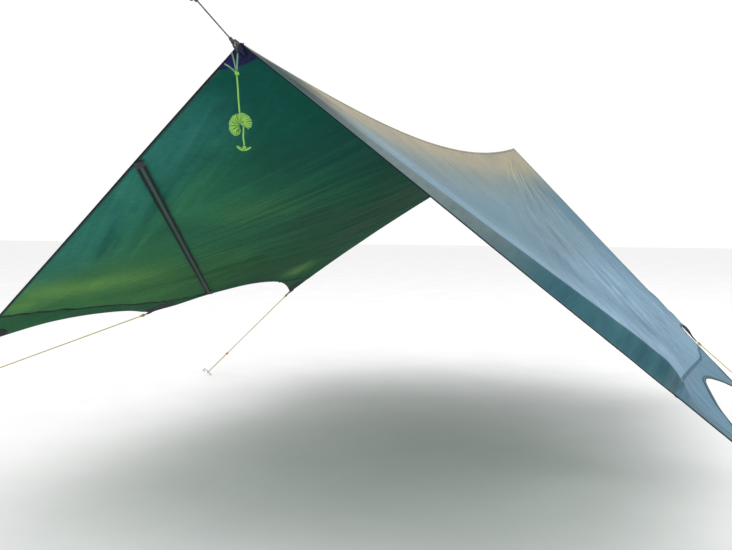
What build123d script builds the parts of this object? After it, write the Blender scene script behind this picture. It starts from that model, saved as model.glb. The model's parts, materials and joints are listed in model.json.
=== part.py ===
"""Hex tarp shelter: a ridge-hung tarp with two side panels, guy lines, stakes and tie-out hardware.

Millimetres. The origin is the near end of the ridge seam, +Y runs along the ridge to its far end,
+X is the right-hand panel's side and +Z is up. The tarp hangs between its two ridge tie-outs.
"""
import math
import os

from build123d import *

# Canopy
RIDGE_LENGTH = 3600
RIDGE_SAG = 108
RIDGE_RISE = 70
PANEL_WIDTH = 1580
CLOTH = 1.0
SEWN_GAP = 0.15
BAY_DEPTHS = {"left": (118, 190), "right": (190, 200)}
GRID_STEPS_ALONG = 12
GRID_STEPS_DOWN = 4
GRID_MARGIN = 0.02

# Each corner: width along the slope, place along the ridge, slope in degrees
CORNERS = {
    "near_left": (PANEL_WIDTH, 530, 31.4),
    "mid_left": (PANEL_WIDTH, 1564, 31.3),
    "far_left": (PANEL_WIDTH, RIDGE_LENGTH - 544, 32.5),
    "near_right": (PANEL_WIDTH - 30, 700, 42.0),
    "mid_right": (PANEL_WIDTH + 13, 1700, 40.9),
    "far_right": (PANEL_WIDTH - 73, RIDGE_LENGTH - 460, 43.9),
}
SIDES = {"left": -1, "right": 1}

# How far above each tie-out's full width the cross seam lies: near, mid, far
SEAM_INSETS = {"left": (220, 140, 148), "right": (330, 190, 160)}

# Bindings, tapes and patches
BINDING_WIDTH = 12
BINDING_LIP = 1
BINDING_WALL = 0.9
RIDGE_TAPE_WIDTH = 14
PATCH = 0.9
RIDGE_PATCH_RADIUS = 95
CORNER_PATCH_RADIUS = 120

# Webbing loops and eye plates
WEB_THICKNESS = 1.4
WEB_WIDTH = 16
WEB_TAIL = 36
WEB_GAP = 0.4
TIP_GAP = 8
RIDGE_LOOP_GAP = 7
BAR_CLEARANCE = 0.35
EYE_THICKNESS = 3
EYE_SIDE_GAP = 0.4
EYE_SLOT_DEPTH = 3
EYE_RAIL = 3.6
EYE_BORE = 10
EYE_WALL = 5
EYE_REACH = 17

# Cords, tensioners and stakes
GROUND = -1400
GUY_DIAMETER = 5
RIDGE_CORD_DIAMETER = 3
KNOT_LENGTH = 14
KNOT_WALL = 2.6
LINK_GAP = 0.1
STAKES = {
    "mid_left": (-2848, 1250, -1380),
    "far_left": (-1865, RIDGE_LENGTH - 673, -1380),
    "far_right": (1457, RIDGE_LENGTH - 393, -1380),
}
GUY_RETURN = 190
TENSIONER_LENGTH = 9
TENSIONER_DEPTH = 7
TENSIONER_WALL = 4
CORD_CLEARANCE = 0.4
STAKE_DIAMETER = 6
STAKE_LENGTH = 180
STAKE_TOP = 24
STAKE_HOOK_RADIUS = 8
STAKE_POINT = 14
RIDGE_CORD_REACH = 178
RIDGE_CORD_RISE = 19.5
END_LOOP_RADIUS = 14

# Spare cord hanging at the near end
HANK_PLANE = 8
HANK_CORD = 3.6
HANK_JOINT = (-14, HANK_PLANE, -63)
HANK_LEG_TOPS = [(-24, 4, -17), (-6.5, 2, -12), (-49, 17, -39)]
HANK_STRAND = [(-14, HANK_PLANE, -67), (-11.5, HANK_PLANE, -95), (-10.5, HANK_PLANE, -122),
               (-8, HANK_PLANE, -148)]
HANK_CENTRE = (-6, HANK_PLANE, -178)
HANK_AXIS_RADIUS = 15.5
HANK_RADIUS = 13
HANK_START = 10
HANK_SWEEP = 215
HANK_TAIL = [(-2, HANK_PLANE, -172), (1.5, HANK_PLANE, -189), (0, HANK_PLANE, -206), (3.5, HANK_PLANE, -223)]
END_KNOT_RADIUS = 5
END_KNOT_TAILS = [(-15, HANK_PLANE, -224), (1, HANK_PLANE, -233), (18, HANK_PLANE, -229)]

# Inner strap
STRAP_WIDTH = 25
STRAP_TOP_PLACE = 450
STRAP_HEM_INSET = 158
STRAP_HEM_PLACE = 1863
STRAP_THICKNESS = 1.4
BUCKLE_LENGTH = 26
BUCKLE_SIDE = 5
BUCKLE_THICKNESS = 5
EDGE_PLATE_LENGTH = 30

OUT = "parts"
HUGE = 400


def corner(name):
    """The fabric point of one tie-out."""
    width, place, slope = CORNERS[name]
    side = SIDES[name.split("_")[1]]
    angle = math.radians(slope)
    return Vector(side * width * math.cos(angle), place, -width * math.sin(angle))


def ridge_point(v):
    """A point of the ridge seam, which sags between its ends."""
    return Vector(0, v * RIDGE_LENGTH, v * RIDGE_RISE - 4 * RIDGE_SAG * v * (1 - v))


def hem_point(side, v):
    """A point of the smooth line through a panel's three tie-outs."""
    near, mid, far = (corner(place + "_" + side) for place in ("near", "mid", "far"))
    m = (mid.Y - near.Y) / (far.Y - near.Y)
    weight_near = (v - m) * (v - 1) / m
    weight_mid = v * (v - 1) / (m * (m - 1))
    weight_far = v * (v - m) / (1 - m)
    return near * weight_near + mid * weight_mid + far * weight_far


def panel_point(side, u, v):
    """A point of a panel: u from the ridge to the tie-outs, v from the near edge to the far edge."""
    return ridge_point(v) * (1 - u) + hem_point(side, v) * u


def panel_normal(side, u, v):
    """The panel's outer normal."""
    step = 0.001
    along = panel_point(side, u, v + step) - panel_point(side, u, v - step)
    down = panel_point(side, u + step, v) - panel_point(side, u - step, v)
    return down.cross(along).normalized() * SIDES[side]


def panel_plane(side):
    """The flat plane nearest to a panel, in which its outlines are drawn."""
    angle = math.radians(CORNERS["mid_" + side][2])
    sign = SIDES[side]
    across = (sign * math.cos(angle), 0, -math.sin(angle))
    normal = (sign * math.sin(angle), 0, math.cos(angle))
    return Plane(origin=(0, 0, 0), x_dir=across, z_dir=normal)


def flat(side, point):
    """A point's place in its panel's plane."""
    local = panel_plane(side).to_local_coords(point)
    return Vector(local.X, local.Y, 0)


def layer(side, low, high):
    """A cloth layer over a whole panel, between two heights above the panel's middle surface."""
    rows = []
    for i in range(GRID_STEPS_DOWN + 1):
        u = -GRID_MARGIN + (1 + 2 * GRID_MARGIN) * i / GRID_STEPS_DOWN
        row = []
        for j in range(GRID_STEPS_ALONG + 1):
            v = -GRID_MARGIN + (1 + 2 * GRID_MARGIN) * j / GRID_STEPS_ALONG
            row.append(panel_point(side, u, v) + panel_normal(side, u, v) * low)
        rows.append(row)
    face = Face.make_surface_from_array_of_points(rows)
    outward = panel_normal(side, 0.5, 0.5)
    return Solid.thicken(face, high - low, normal_override=outward)


def arc_middle(start, end, depth):
    """The middle of a cat-cut edge, pulled in towards the ridge."""
    middle = (start + end) * 0.5
    run = (end - start).normalized()
    inward = Vector(-run.Y, run.X, 0)
    if inward.X > 0:
        inward = inward * -1
    return middle + inward * depth


def panel_outline(side):
    """The panel's cut shape in its plane; it runs past the ridge, where the layers are trimmed later."""
    near, mid, far = (flat(side, corner(place + "_" + side)) for place in ("near", "mid", "far"))
    apex = flat(side, ridge_point(0))
    end = flat(side, ridge_point(1))
    past_near = apex - (near - apex) * (2 * GRID_MARGIN)
    past_far = end - (far - end) * (2 * GRID_MARGIN)
    near_depth, far_depth = BAY_DEPTHS[side]
    near_bay = ThreePointArc(near, arc_middle(near, mid, near_depth), mid)
    far_bay = ThreePointArc(mid, arc_middle(mid, far, far_depth), far)
    edges = [Line(past_near, near), near_bay, far_bay, Line(far, past_far), Line(past_far, past_near)]
    return make_face(edges)


def strip(side, start, end, half_width, overrun=0):
    """A flat strip along a line in a panel's plane."""
    run = (end - start).normalized()
    across = Vector(-run.Y, run.X, 0) * half_width
    first = start - run * overrun
    last = end + run * overrun
    return make_face(Polyline(first + across, last + across, last - across, first - across, close=True))


def prism(side, sketch):
    """A flat outline as a thick block, square to the panel's plane."""
    return extrude(panel_plane(side) * sketch, amount=HUGE, both=True)


def half_space(side):
    """Everything on one side of the ridge."""
    size = 3 * RIDGE_LENGTH
    return Pos(SIDES[side] * size / 2, RIDGE_LENGTH / 2, 0) * Box(size, size, size)


def beyond_seam(side):
    """The part of a panel's plane between the cross seam and past the tie-outs."""
    places = [flat(side, corner(place + "_" + side)).Y for place in ("near", "mid", "far")]
    widths = [PANEL_WIDTH - inset for inset in SEAM_INSETS[side]]
    span = places[2] - places[0]
    start, end = places[0] - span, places[2] + span
    seam = [(widths[0], start), *zip(widths, places), (widths[2], end)]
    return make_face(Polyline(*seam, (2 * PANEL_WIDTH, end), (2 * PANEL_WIDTH, start), close=True))


def edge_strip(side, place):
    """The zone of the near or far edge binding."""
    ridge_end = flat(side, ridge_point(0 if place == "near" else 1))
    tip = flat(side, corner(place + "_" + side))
    return strip(side, ridge_end, tip, BINDING_WIDTH + BINDING_LIP, HUGE)


def binding_ring(side):
    """The band all round a panel that its bindings cover."""
    outline = panel_outline(side)
    outer = offset(outline, amount=BINDING_LIP, kind=Kind.INTERSECTION)
    inner = offset(outline, amount=-BINDING_WIDTH, kind=Kind.INTERSECTION)
    return outer - inner


def build_panel(side):
    """A side's sewn cloth: canopy, hem panel, bindings, corner patches."""
    nodes = {}
    cloth = layer(side, -CLOTH / 2, CLOTH / 2) & half_space(side)
    cut = cloth & prism(side, panel_outline(side))
    seam = prism(side, beyond_seam(side))
    nodes["canopy_" + side] = cut - seam
    nodes["hem_panel_" + side] = cut & seam
    face = CLOTH / 2 + SEWN_GAP
    wrap = layer(side, -face - BINDING_WALL, face + BINDING_WALL) & half_space(side)
    inner_outline = offset(panel_outline(side), amount=SEWN_GAP, kind=Kind.INTERSECTION)
    core = layer(side, -face, face) & prism(side, inner_outline)
    ring = binding_ring(side)
    near = edge_strip(side, "near")
    far = edge_strip(side, "far")
    hem_zone = Pos(PANEL_WIDTH, flat(side, ridge_point(0.5)).Y) * Rectangle(PANEL_WIDTH, 2 * RIDGE_LENGTH)
    zones = {
        "near_binding_": ring & near,
        "far_binding_": ring & far,
        "hem_binding_": (ring & hem_zone) - near - far,
    }
    for name, zone in zones.items():
        nodes[name + side] = (wrap & prism(side, zone)) - core
    under = layer(side, -face - PATCH, -face) & half_space(side)
    inside = offset(panel_outline(side), amount=-BINDING_WIDTH - SEWN_GAP, kind=Kind.INTERSECTION)
    for place in ("near", "mid", "far"):
        tip = flat(side, corner(place + "_" + side))
        zone = inside & (Pos(tip) * Circle(CORNER_PATCH_RADIUS))
        nodes["patch_" + place + "_" + side] = under & prism(side, zone)
    for place, v in (("near", 0), ("far", 1)):
        zone = inside & (Pos(flat(side, ridge_point(v))) * Circle(RIDGE_PATCH_RADIUS))
        nodes["ridge_patch_" + place + "_" + side] = under & prism(side, zone)
    over = layer(side, face, face + PATCH)
    tape_middle = (SIDES[side] * RIDGE_TAPE_WIDTH / 2, RIDGE_LENGTH / 2, 0)
    tape_zone = Pos(*tape_middle) * Box(RIDGE_TAPE_WIDTH, 2 * RIDGE_LENGTH, 2 * HUGE)
    nodes["ridge_tape_" + side] = over & tape_zone & prism(side, inside)
    return nodes


def build_ridge_pieces(nodes):
    """Join the two sides' ridge patches and tapes, which are each one sewn piece."""
    for end in ("near", "far"):
        halves = [nodes.pop("ridge_patch_" + end + "_" + side) for side in SIDES]
        nodes["ridge_patch_" + end] = halves[0] + halves[1]
    halves = [nodes.pop("ridge_tape_" + side) for side in SIDES]
    nodes["ridge_tape"] = halves[0] + halves[1]


def build_strap():
    """The webbing strap sewn along the left panel's underside, with its end plate and buckle."""
    top_u = STRAP_TOP_PLACE / PANEL_WIDTH
    start = flat("left", panel_point("left", top_u, 0))
    end = Vector(PANEL_WIDTH - STRAP_HEM_INSET, -STRAP_HEM_PLACE, 0)
    run = (end - start).normalized()
    face = CLOTH / 2 + BINDING_WALL + 2 * SEWN_GAP
    under = layer("left", -face - STRAP_THICKNESS, -face)
    first = start + run * (BINDING_WIDTH + EDGE_PLATE_LENGTH)
    last = end - run * BUCKLE_LENGTH
    web = under & prism("left", strip("left", first, last, STRAP_WIDTH / 2))
    plate_layer = layer("left", -face - BUCKLE_THICKNESS, -face)
    plate_zone = strip("left", first - run * EDGE_PLATE_LENGTH, first, STRAP_WIDTH / 2)
    plate = plate_layer & prism("left", plate_zone)
    frame_half = STRAP_WIDTH / 2 + BUCKLE_SIDE
    outer = strip("left", last, end, frame_half)
    slot_start = last + run * BUCKLE_SIDE
    slot_end = end - run * BUCKLE_SIDE
    outer = outer - strip("left", slot_start, slot_end, STRAP_WIDTH / 2)
    bar_middle = (slot_start + slot_end) * 0.5
    outer = outer + strip("left", bar_middle - run * 2, bar_middle + run * 2, frame_half)
    buckle = plate_layer & prism("left", outer)
    return {"storm_strap": web, "strap_edge_plate": plate, "strap_buckle": buckle}


def tie_frame(name, pull):
    """A tie-out's frame: origin at its bar, x along the pull within the cloth, z the cloth's normal."""
    place, side = name.split("_")
    v = {"near": 0, "far": 1}.get(place)
    if v is None:
        near, far = corner("near_" + side), corner("far_" + side)
        v = (corner(name).Y - near.Y) / (far.Y - near.Y)
    normal = panel_normal(side, 1, v)
    outward = (pull - normal * pull.dot(normal)).normalized()
    return Plane(origin=corner(name) + outward * TIP_GAP, x_dir=outward, z_dir=normal)


def corner_bisector(name):
    """The direction that splits a tie-out's corner, for one with no guy line on it."""
    place, side = name.split("_")
    tip = corner(name)
    neighbours = {
        "near": [ridge_point(0), corner("mid_" + side)],
        "mid": [corner("near_" + side), corner("far_" + side)],
        "far": [ridge_point(1), corner("mid_" + side)],
    }[place]
    if place == "mid":
        return tip - ridge_point(tip.Y / RIDGE_LENGTH)
    return (tip - neighbours[0]).normalized() + (tip - neighbours[1]).normalized()


def ridge_frame(end):
    """A ridge end's frame: x along the ridge line's pull and z to the side, so that the loop is upright."""
    if end == "near":
        rise = math.radians(RIDGE_CORD_RISE)
        outward = Vector(0, -math.cos(rise), math.sin(rise))
        sideways = Vector(1, 0, 0)
        tip = ridge_point(0)
    else:
        outward = (ridge_point(1) - ridge_point(0.98)).normalized()
        sideways = Vector(-1, 0, 0)
        tip = ridge_point(1)
    drop = Vector(0, 0, -WEB_WIDTH / 2 - RIDGE_LOOP_GAP)
    return Plane(origin=tip + outward * TIP_GAP + drop, x_dir=outward, z_dir=sideways)


WEB_INSIDE = CLOTH / 2 + SEWN_GAP + BINDING_WALL + WEB_GAP
BAR_RADIUS = WEB_INSIDE - BAR_CLEARANCE
SLOT_REACH = WEB_INSIDE + WEB_THICKNESS + EYE_SLOT_DEPTH / 2


def web_loop():
    """A webbing loop round an eye plate's bar, in the tie-out's frame."""
    outer = WEB_INSIDE + WEB_THICKNESS
    half_ring = Circle(outer) - Circle(WEB_INSIDE)
    half_ring = half_ring & (Pos(outer, 0) * Rectangle(2 * outer, 4 * outer))
    tail = Rectangle(WEB_TAIL, WEB_THICKNESS)
    shift = WEB_INSIDE + WEB_THICKNESS / 2
    profile = half_ring + (Pos(-WEB_TAIL / 2, shift) * tail) + (Pos(-WEB_TAIL / 2, -shift) * tail)
    across = Plane(origin=(0, 0, 0), x_dir=(1, 0, 0), z_dir=(0, -1, 0))
    return extrude(across * profile, amount=WEB_WIDTH / 2, both=True)


def eye_plate():
    """A moulded eye: a round bar for the webbing, two rails and a bored ring, in the tie-out's frame."""
    slot_half = WEB_WIDTH / 2 + EYE_SIDE_GAP
    half_width = slot_half + EYE_RAIL
    ring_radius = EYE_BORE / 2 + EYE_WALL
    bore = Pos(EYE_REACH, 0)
    shoulder = Pos(SLOT_REACH / 2, 0) * Rectangle(SLOT_REACH + 2 * BAR_RADIUS, 2 * half_width)
    hull = make_hull((shoulder + bore * Circle(ring_radius)).edges())
    slot_length = SLOT_REACH + 4 * BAR_RADIUS
    slot = Pos(SLOT_REACH - slot_length / 2, 0) * Rectangle(slot_length, 2 * slot_half)
    sketch = hull - slot - bore * Circle(EYE_BORE / 2)
    plate = extrude(sketch, amount=EYE_THICKNESS / 2, both=True)
    bar = Rot(90, 0, 0) * Cylinder(BAR_RADIUS, 2 * slot_half + EYE_RAIL)
    return plate + bar


def guy_direction(name):
    """The direction of a guy line from its tie-out to its stake."""
    return (Vector(*STAKES[name]) - corner(name)).normalized()


def eye_frame(name):
    """The eye plate's frame, turned about its bar to face its guy line."""
    if name not in STAKES:
        return tie_frame(name, corner_bisector(name))
    base = tie_frame(name, guy_direction(name))
    pull = (Vector(*STAKES[name]) - base.origin).normalized()
    bar_axis = base.z_dir.cross(base.x_dir)
    facing = (pull - bar_axis * pull.dot(bar_axis)).normalized()
    return Plane(origin=base.origin, x_dir=facing, z_dir=facing.cross(bar_axis))


def guy_frame(name):
    """A guy line's frame: origin at the eye's bore, x along the taut line, z along its stake."""
    bore = eye_frame(name).from_local_coords(Vector(EYE_REACH, 0, 0))
    pull = (Vector(*STAKES[name]) - bore).normalized()
    level = Vector(0, 0, 1).cross(pull).normalized()
    return Plane(origin=bore, x_dir=pull, z_dir=pull.cross(level))


def guy_reach(name):
    """How far the guy line runs from the eye's bore to its stake's far side."""
    bore = eye_frame(name).from_local_coords(Vector(EYE_REACH, 0, 0))
    return (Vector(*STAKES[name]) - bore).length


GUY_KNOT_RADIUS = GUY_DIAMETER / 2 + KNOT_WALL
RIDGE_KNOT_RADIUS = RIDGE_CORD_DIAMETER / 2 + KNOT_WALL
LINK_RADIUS = math.hypot(EYE_WALL, EYE_THICKNESS) / 2 + GUY_DIAMETER / 2 + LINK_GAP
LOOP_RADIUS = STAKE_DIAMETER / 2 + GUY_DIAMETER / 2 + CORD_CLEARANCE
LEG_GAP = 2 * LOOP_RADIUS
KNOT_START = EYE_BORE / 2 + EYE_WALL


def tube(points, radii, diameter):
    """A cord's tube along straight runs and tangent arcs."""
    path = FilletPolyline(*points, radius=radii)
    start = path.edges()[0]
    section = Plane(origin=start @ 0, z_dir=start % 0) * Circle(diameter / 2)
    return sweep(section, path=path)


def guy_points(name):
    """A guy line's route in its frame: out to the stake, round it and back to the tensioner."""
    far = guy_reach(name) + LOOP_RADIUS
    back = far - GUY_RETURN
    return [Vector(KNOT_START, 0, 0), Vector(far, 0, 0), Vector(far, -LEG_GAP, 0), Vector(back, -LEG_GAP, 0)]


def build_guy(name):
    """A guy line with its eye knot, its tensioner, and its stake."""
    frame = guy_frame(name)
    points = guy_points(name)
    bend = LOOP_RADIUS - 0.02
    cord = tube(points, [bend, bend], GUY_DIAMETER)
    print("guy_cord_" + name, "length", round(cord.volume / (math.pi * GUY_DIAMETER**2 / 4)), "radii", bend)
    wrapped = Cylinder(GUY_KNOT_RADIUS, KNOT_LENGTH) - Cylinder(GUY_DIAMETER / 2, KNOT_LENGTH)
    knot = Pos(KNOT_START + KNOT_LENGTH / 2, 0, 0) * Rot(0, 90, 0) * wrapped
    stopper = Rot(0, 90, 0) * Cylinder(GUY_KNOT_RADIUS, KNOT_LENGTH / 2)
    stopper = Pos(points[3].X - KNOT_LENGTH / 4, -LEG_GAP, 0) * stopper
    hole = GUY_DIAMETER / 2 + CORD_CLEARANCE
    body = SlotOverall(LEG_GAP + 2 * hole + 2 * TENSIONER_WALL, TENSIONER_DEPTH + TENSIONER_WALL)
    body = body - Pos(LEG_GAP / 2, 0) * Circle(hole) - Pos(-LEG_GAP / 2, 0) * Circle(hole)
    block = extrude(Plane.YZ * body, amount=TENSIONER_LENGTH)
    tensioner = Pos(points[3].X + 1, -LEG_GAP / 2, 0) * block
    link_place = EYE_BORE / 2 + EYE_WALL / 2
    link = Pos(link_place, 0, 0) * Rot(90, 0, 0) * Torus(LINK_RADIUS, GUY_DIAMETER / 2)
    knot = knot + (link & (Pos(0, 0, 0) * Box(2 * (KNOT_START + 2), HUGE, HUGE)))
    return {
        "guy_cord_" + name: frame.location * cord,
        "guy_knots_" + name: frame.location * Compound([knot, stopper]),
        "tensioner_" + name: frame.location * tensioner,
        "stake_" + name: frame.location * Pos(guy_reach(name), -LOOP_RADIUS, 0) * stake(),
    }


def stake():
    """A round stake with a crook at its top, its loop point at the origin and its point below."""
    radius = STAKE_DIAMETER / 2
    shaft_bottom = STAKE_TOP - STAKE_LENGTH
    shaft = Pos(0, 0, (STAKE_TOP + shaft_bottom + STAKE_POINT) / 2)
    shaft = shaft * Cylinder(radius, STAKE_TOP - shaft_bottom - STAKE_POINT)
    point = Pos(0, 0, shaft_bottom + STAKE_POINT / 2) * Cone(0.5, radius, STAKE_POINT)
    lip = (2 * STAKE_HOOK_RADIUS, 0, STAKE_TOP - STAKE_HOOK_RADIUS)
    crook = ThreePointArc((0, 0, STAKE_TOP), (STAKE_HOOK_RADIUS, 0, STAKE_TOP + STAKE_HOOK_RADIUS),
                          (2 * STAKE_HOOK_RADIUS, 0, STAKE_TOP))
    path = crook + Line((2 * STAKE_HOOK_RADIUS, 0, STAKE_TOP), lip)
    section = Plane(origin=(0, 0, STAKE_TOP), z_dir=(0, 0, 1)) * Circle(radius)
    return shaft + point + sweep(section, path=path)


def build_ridge_line():
    """The near ridge line and the loop knotted at its end."""
    frame = ridge_frame("near")
    start = EYE_REACH + KNOT_START
    length = RIDGE_CORD_REACH - start
    radius = RIDGE_CORD_DIAMETER / 2
    cord = Pos(start + length / 2, 0, 0) * Rot(0, 90, 0) * Cylinder(radius, length)
    solid_knot = Cylinder(RIDGE_KNOT_RADIUS, KNOT_LENGTH)
    wrapped = solid_knot - Cylinder(radius, KNOT_LENGTH)
    knot = Pos(start + KNOT_LENGTH / 2, 0, 0) * Rot(0, 90, 0) * wrapped
    end_knot = Pos(RIDGE_CORD_REACH + KNOT_LENGTH / 2, 0, 0) * Rot(0, 90, 0) * solid_knot
    loop_place = RIDGE_CORD_REACH + KNOT_LENGTH + END_LOOP_RADIUS - radius
    loop = Pos(loop_place, 0, 0) * Torus(END_LOOP_RADIUS, radius)
    return {
        "ridge_cord": frame.location * cord,
        "ridge_cord_knot": frame.location * knot,
        "ridge_end_loop": frame.location * (end_knot + loop),
    }


def route(points, diameter):
    """A limp cord's tube through chosen points, each arc as large as its runs allow."""
    path_points = [Vector(*point) for point in points]
    radii = []
    for before, here, after in zip(path_points, path_points[1:], path_points[2:]):
        turn = math.radians((here - before).get_angle(after - here))
        shorter = min((here - before).length, (after - here).length)
        radii.append(0.45 * shorter / math.tan(turn / 2))
    print("cord radii", [round(radius) for radius in radii])
    return tube(path_points, radii, diameter)


def hank_axis_point(degrees):
    """A point on the wound hank's curved middle line."""
    angle = math.radians(degrees)
    centre = Vector(*HANK_CENTRE)
    return centre + Vector(math.cos(angle), 0, math.sin(angle)) * HANK_AXIS_RADIUS


def build_hank():
    """Spare cord that hangs at the near end: legs, joining knot, strand, wound hank, tail and end knot."""
    joint = Vector(*HANK_JOINT)
    legs = []
    for top in HANK_LEG_TOPS:
        top_point = Vector(*top)
        run = joint - top_point
        length = run.length - END_KNOT_RADIUS - CORD_CLEARANCE
        leg = Cylinder(HANK_CORD / 2, length, align=(Align.CENTER, Align.CENTER, Align.MIN))
        legs.append(Plane(origin=top_point, z_dir=run).location * leg)
    first = hank_axis_point(HANK_START)
    last = hank_axis_point(HANK_START + HANK_SWEEP)
    middle = hank_axis_point(HANK_START + HANK_SWEEP / 2)
    axis = ThreePointArc(first, middle, last)
    section = Plane(origin=axis @ 0, z_dir=axis % 0) * Circle(HANK_RADIUS)
    wound = sweep(section, path=axis)
    wound = wound + Pos(*first) * Sphere(HANK_RADIUS) + Pos(*last) * Sphere(HANK_RADIUS)
    strand = route(HANK_STRAND, HANK_CORD) - wound
    tail = route(HANK_TAIL, HANK_CORD) - wound
    end = Vector(*HANK_TAIL[-1])
    knot = Pos(end.X, end.Y, end.Z - END_KNOT_RADIUS + 1) * Sphere(END_KNOT_RADIUS)
    ends = ThreePointArc(*END_KNOT_TAILS)
    end_section = Plane(origin=ends @ 0, z_dir=ends % 0) * Circle(HANK_CORD / 2)
    bow = sweep(end_section, path=ends)
    return {
        "hank_legs": Compound(legs),
        "hank_joint_knot": Pos(*joint) * Sphere(END_KNOT_RADIUS),
        "hank_strand": strand,
        "hank_winding": wound,
        "hank_tail": tail - knot,
        "hank_end_knot": knot + bow,
    }


def build_hardware():
    """Webbing loops and eye plates at every tie-out."""
    nodes = {}
    for end in ("near", "far"):
        frame = ridge_frame(end)
        nodes["web_loop_ridge_" + end] = frame.location * web_loop()
        nodes["eye_ridge_" + end] = frame.location * eye_plate()
    for name in CORNERS:
        frame = eye_frame(name)
        pull = guy_direction(name) if name in STAKES else corner_bisector(name)
        nodes["web_loop_" + name] = tie_frame(name, pull).location * web_loop()
        nodes["eye_" + name] = frame.location * eye_plate()
        print("eye_" + name, "bar", tuple(round(c, 2) for c in frame.origin), "x",
              tuple(round(c, 4) for c in frame.x_dir), "z", tuple(round(c, 4) for c in frame.z_dir))
    return nodes


def main():
    """Build every node and write it."""
    os.makedirs(OUT, exist_ok=True)
    nodes = {}
    for side in SIDES:
        nodes.update(build_panel(side))
    build_ridge_pieces(nodes)
    nodes.update(build_strap())
    nodes.update(build_hardware())
    for name in STAKES:
        nodes.update(build_guy(name))
    nodes.update(build_ridge_line())
    nodes.update(build_hank())
    for name, shape in nodes.items():
        export_step(shape, os.path.join(OUT, name + ".step"))
    print(len(nodes), "nodes")


if __name__ == "__main__":
    main()
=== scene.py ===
"""Hex tarp shelter: two coated side panels on a ridge, with bindings, tie-outs, guy lines and a hank.

Metres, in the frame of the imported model: the origin is the near end of the ridge seam, +Y runs along the
ridge, +X is the right-hand panel's side and +Z is up.
"""
import json
import logging
import math
from dataclasses import dataclass
from enum import Enum
from typing import Callable, Dict, List, Optional, Sequence, Tuple

import bpy
import numpy as np
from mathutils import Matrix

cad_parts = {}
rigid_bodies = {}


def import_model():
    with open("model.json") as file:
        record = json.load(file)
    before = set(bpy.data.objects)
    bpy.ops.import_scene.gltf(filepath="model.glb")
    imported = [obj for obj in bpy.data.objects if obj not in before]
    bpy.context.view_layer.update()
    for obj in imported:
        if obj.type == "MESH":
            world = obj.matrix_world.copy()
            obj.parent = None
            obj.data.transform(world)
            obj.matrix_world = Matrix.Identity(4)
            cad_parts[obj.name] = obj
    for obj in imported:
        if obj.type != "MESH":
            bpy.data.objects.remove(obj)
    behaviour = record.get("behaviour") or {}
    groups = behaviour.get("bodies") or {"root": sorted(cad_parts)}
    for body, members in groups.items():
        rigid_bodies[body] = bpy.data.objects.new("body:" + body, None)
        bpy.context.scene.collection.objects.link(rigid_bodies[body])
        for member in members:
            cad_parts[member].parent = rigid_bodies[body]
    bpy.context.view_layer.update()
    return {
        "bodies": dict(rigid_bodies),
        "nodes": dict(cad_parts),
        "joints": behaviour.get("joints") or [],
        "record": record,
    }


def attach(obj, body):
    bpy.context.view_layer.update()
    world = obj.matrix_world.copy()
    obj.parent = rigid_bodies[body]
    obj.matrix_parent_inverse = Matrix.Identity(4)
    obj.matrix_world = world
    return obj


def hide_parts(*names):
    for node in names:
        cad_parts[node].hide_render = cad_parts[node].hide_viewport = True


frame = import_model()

LOG = logging.getLogger("tarp")
ROOT = "canopy_assembly"
Array = np.ndarray
Colour = Tuple[float, float, float]


class Side(Enum):
    """The two sloping panels, as the sign of their X."""

    LEFT = -1
    RIGHT = 1

    @property
    def label(self) -> str:
        """The side's name as the frame's nodes have it."""
        return self.name.lower()


class Place(Enum):
    """The tie-outs along one panel's hem."""

    NEAR = "near"
    MID = "mid"
    FAR = "far"


def shade(red: int, green: int, blue: int) -> Colour:
    """A display colour, 0 to 255 a channel, as linear light."""
    def one(value: int) -> float:
        """One channel in linear light."""
        share = value / 255
        return share / 12.92 if share <= 0.04045 else ((share + 0.055) / 1.055) ** 2.4
    return one(red), one(green), one(blue)


def smooth(low: float, high: float, value: Array) -> Array:
    """A soft step from 0 at low to 1 at high."""
    share = np.clip((value - low) / (high - low), 0, 1)
    return share * share * (3 - 2 * share)


# ---------------------------------------------------------------- node graphs and finishes


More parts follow.
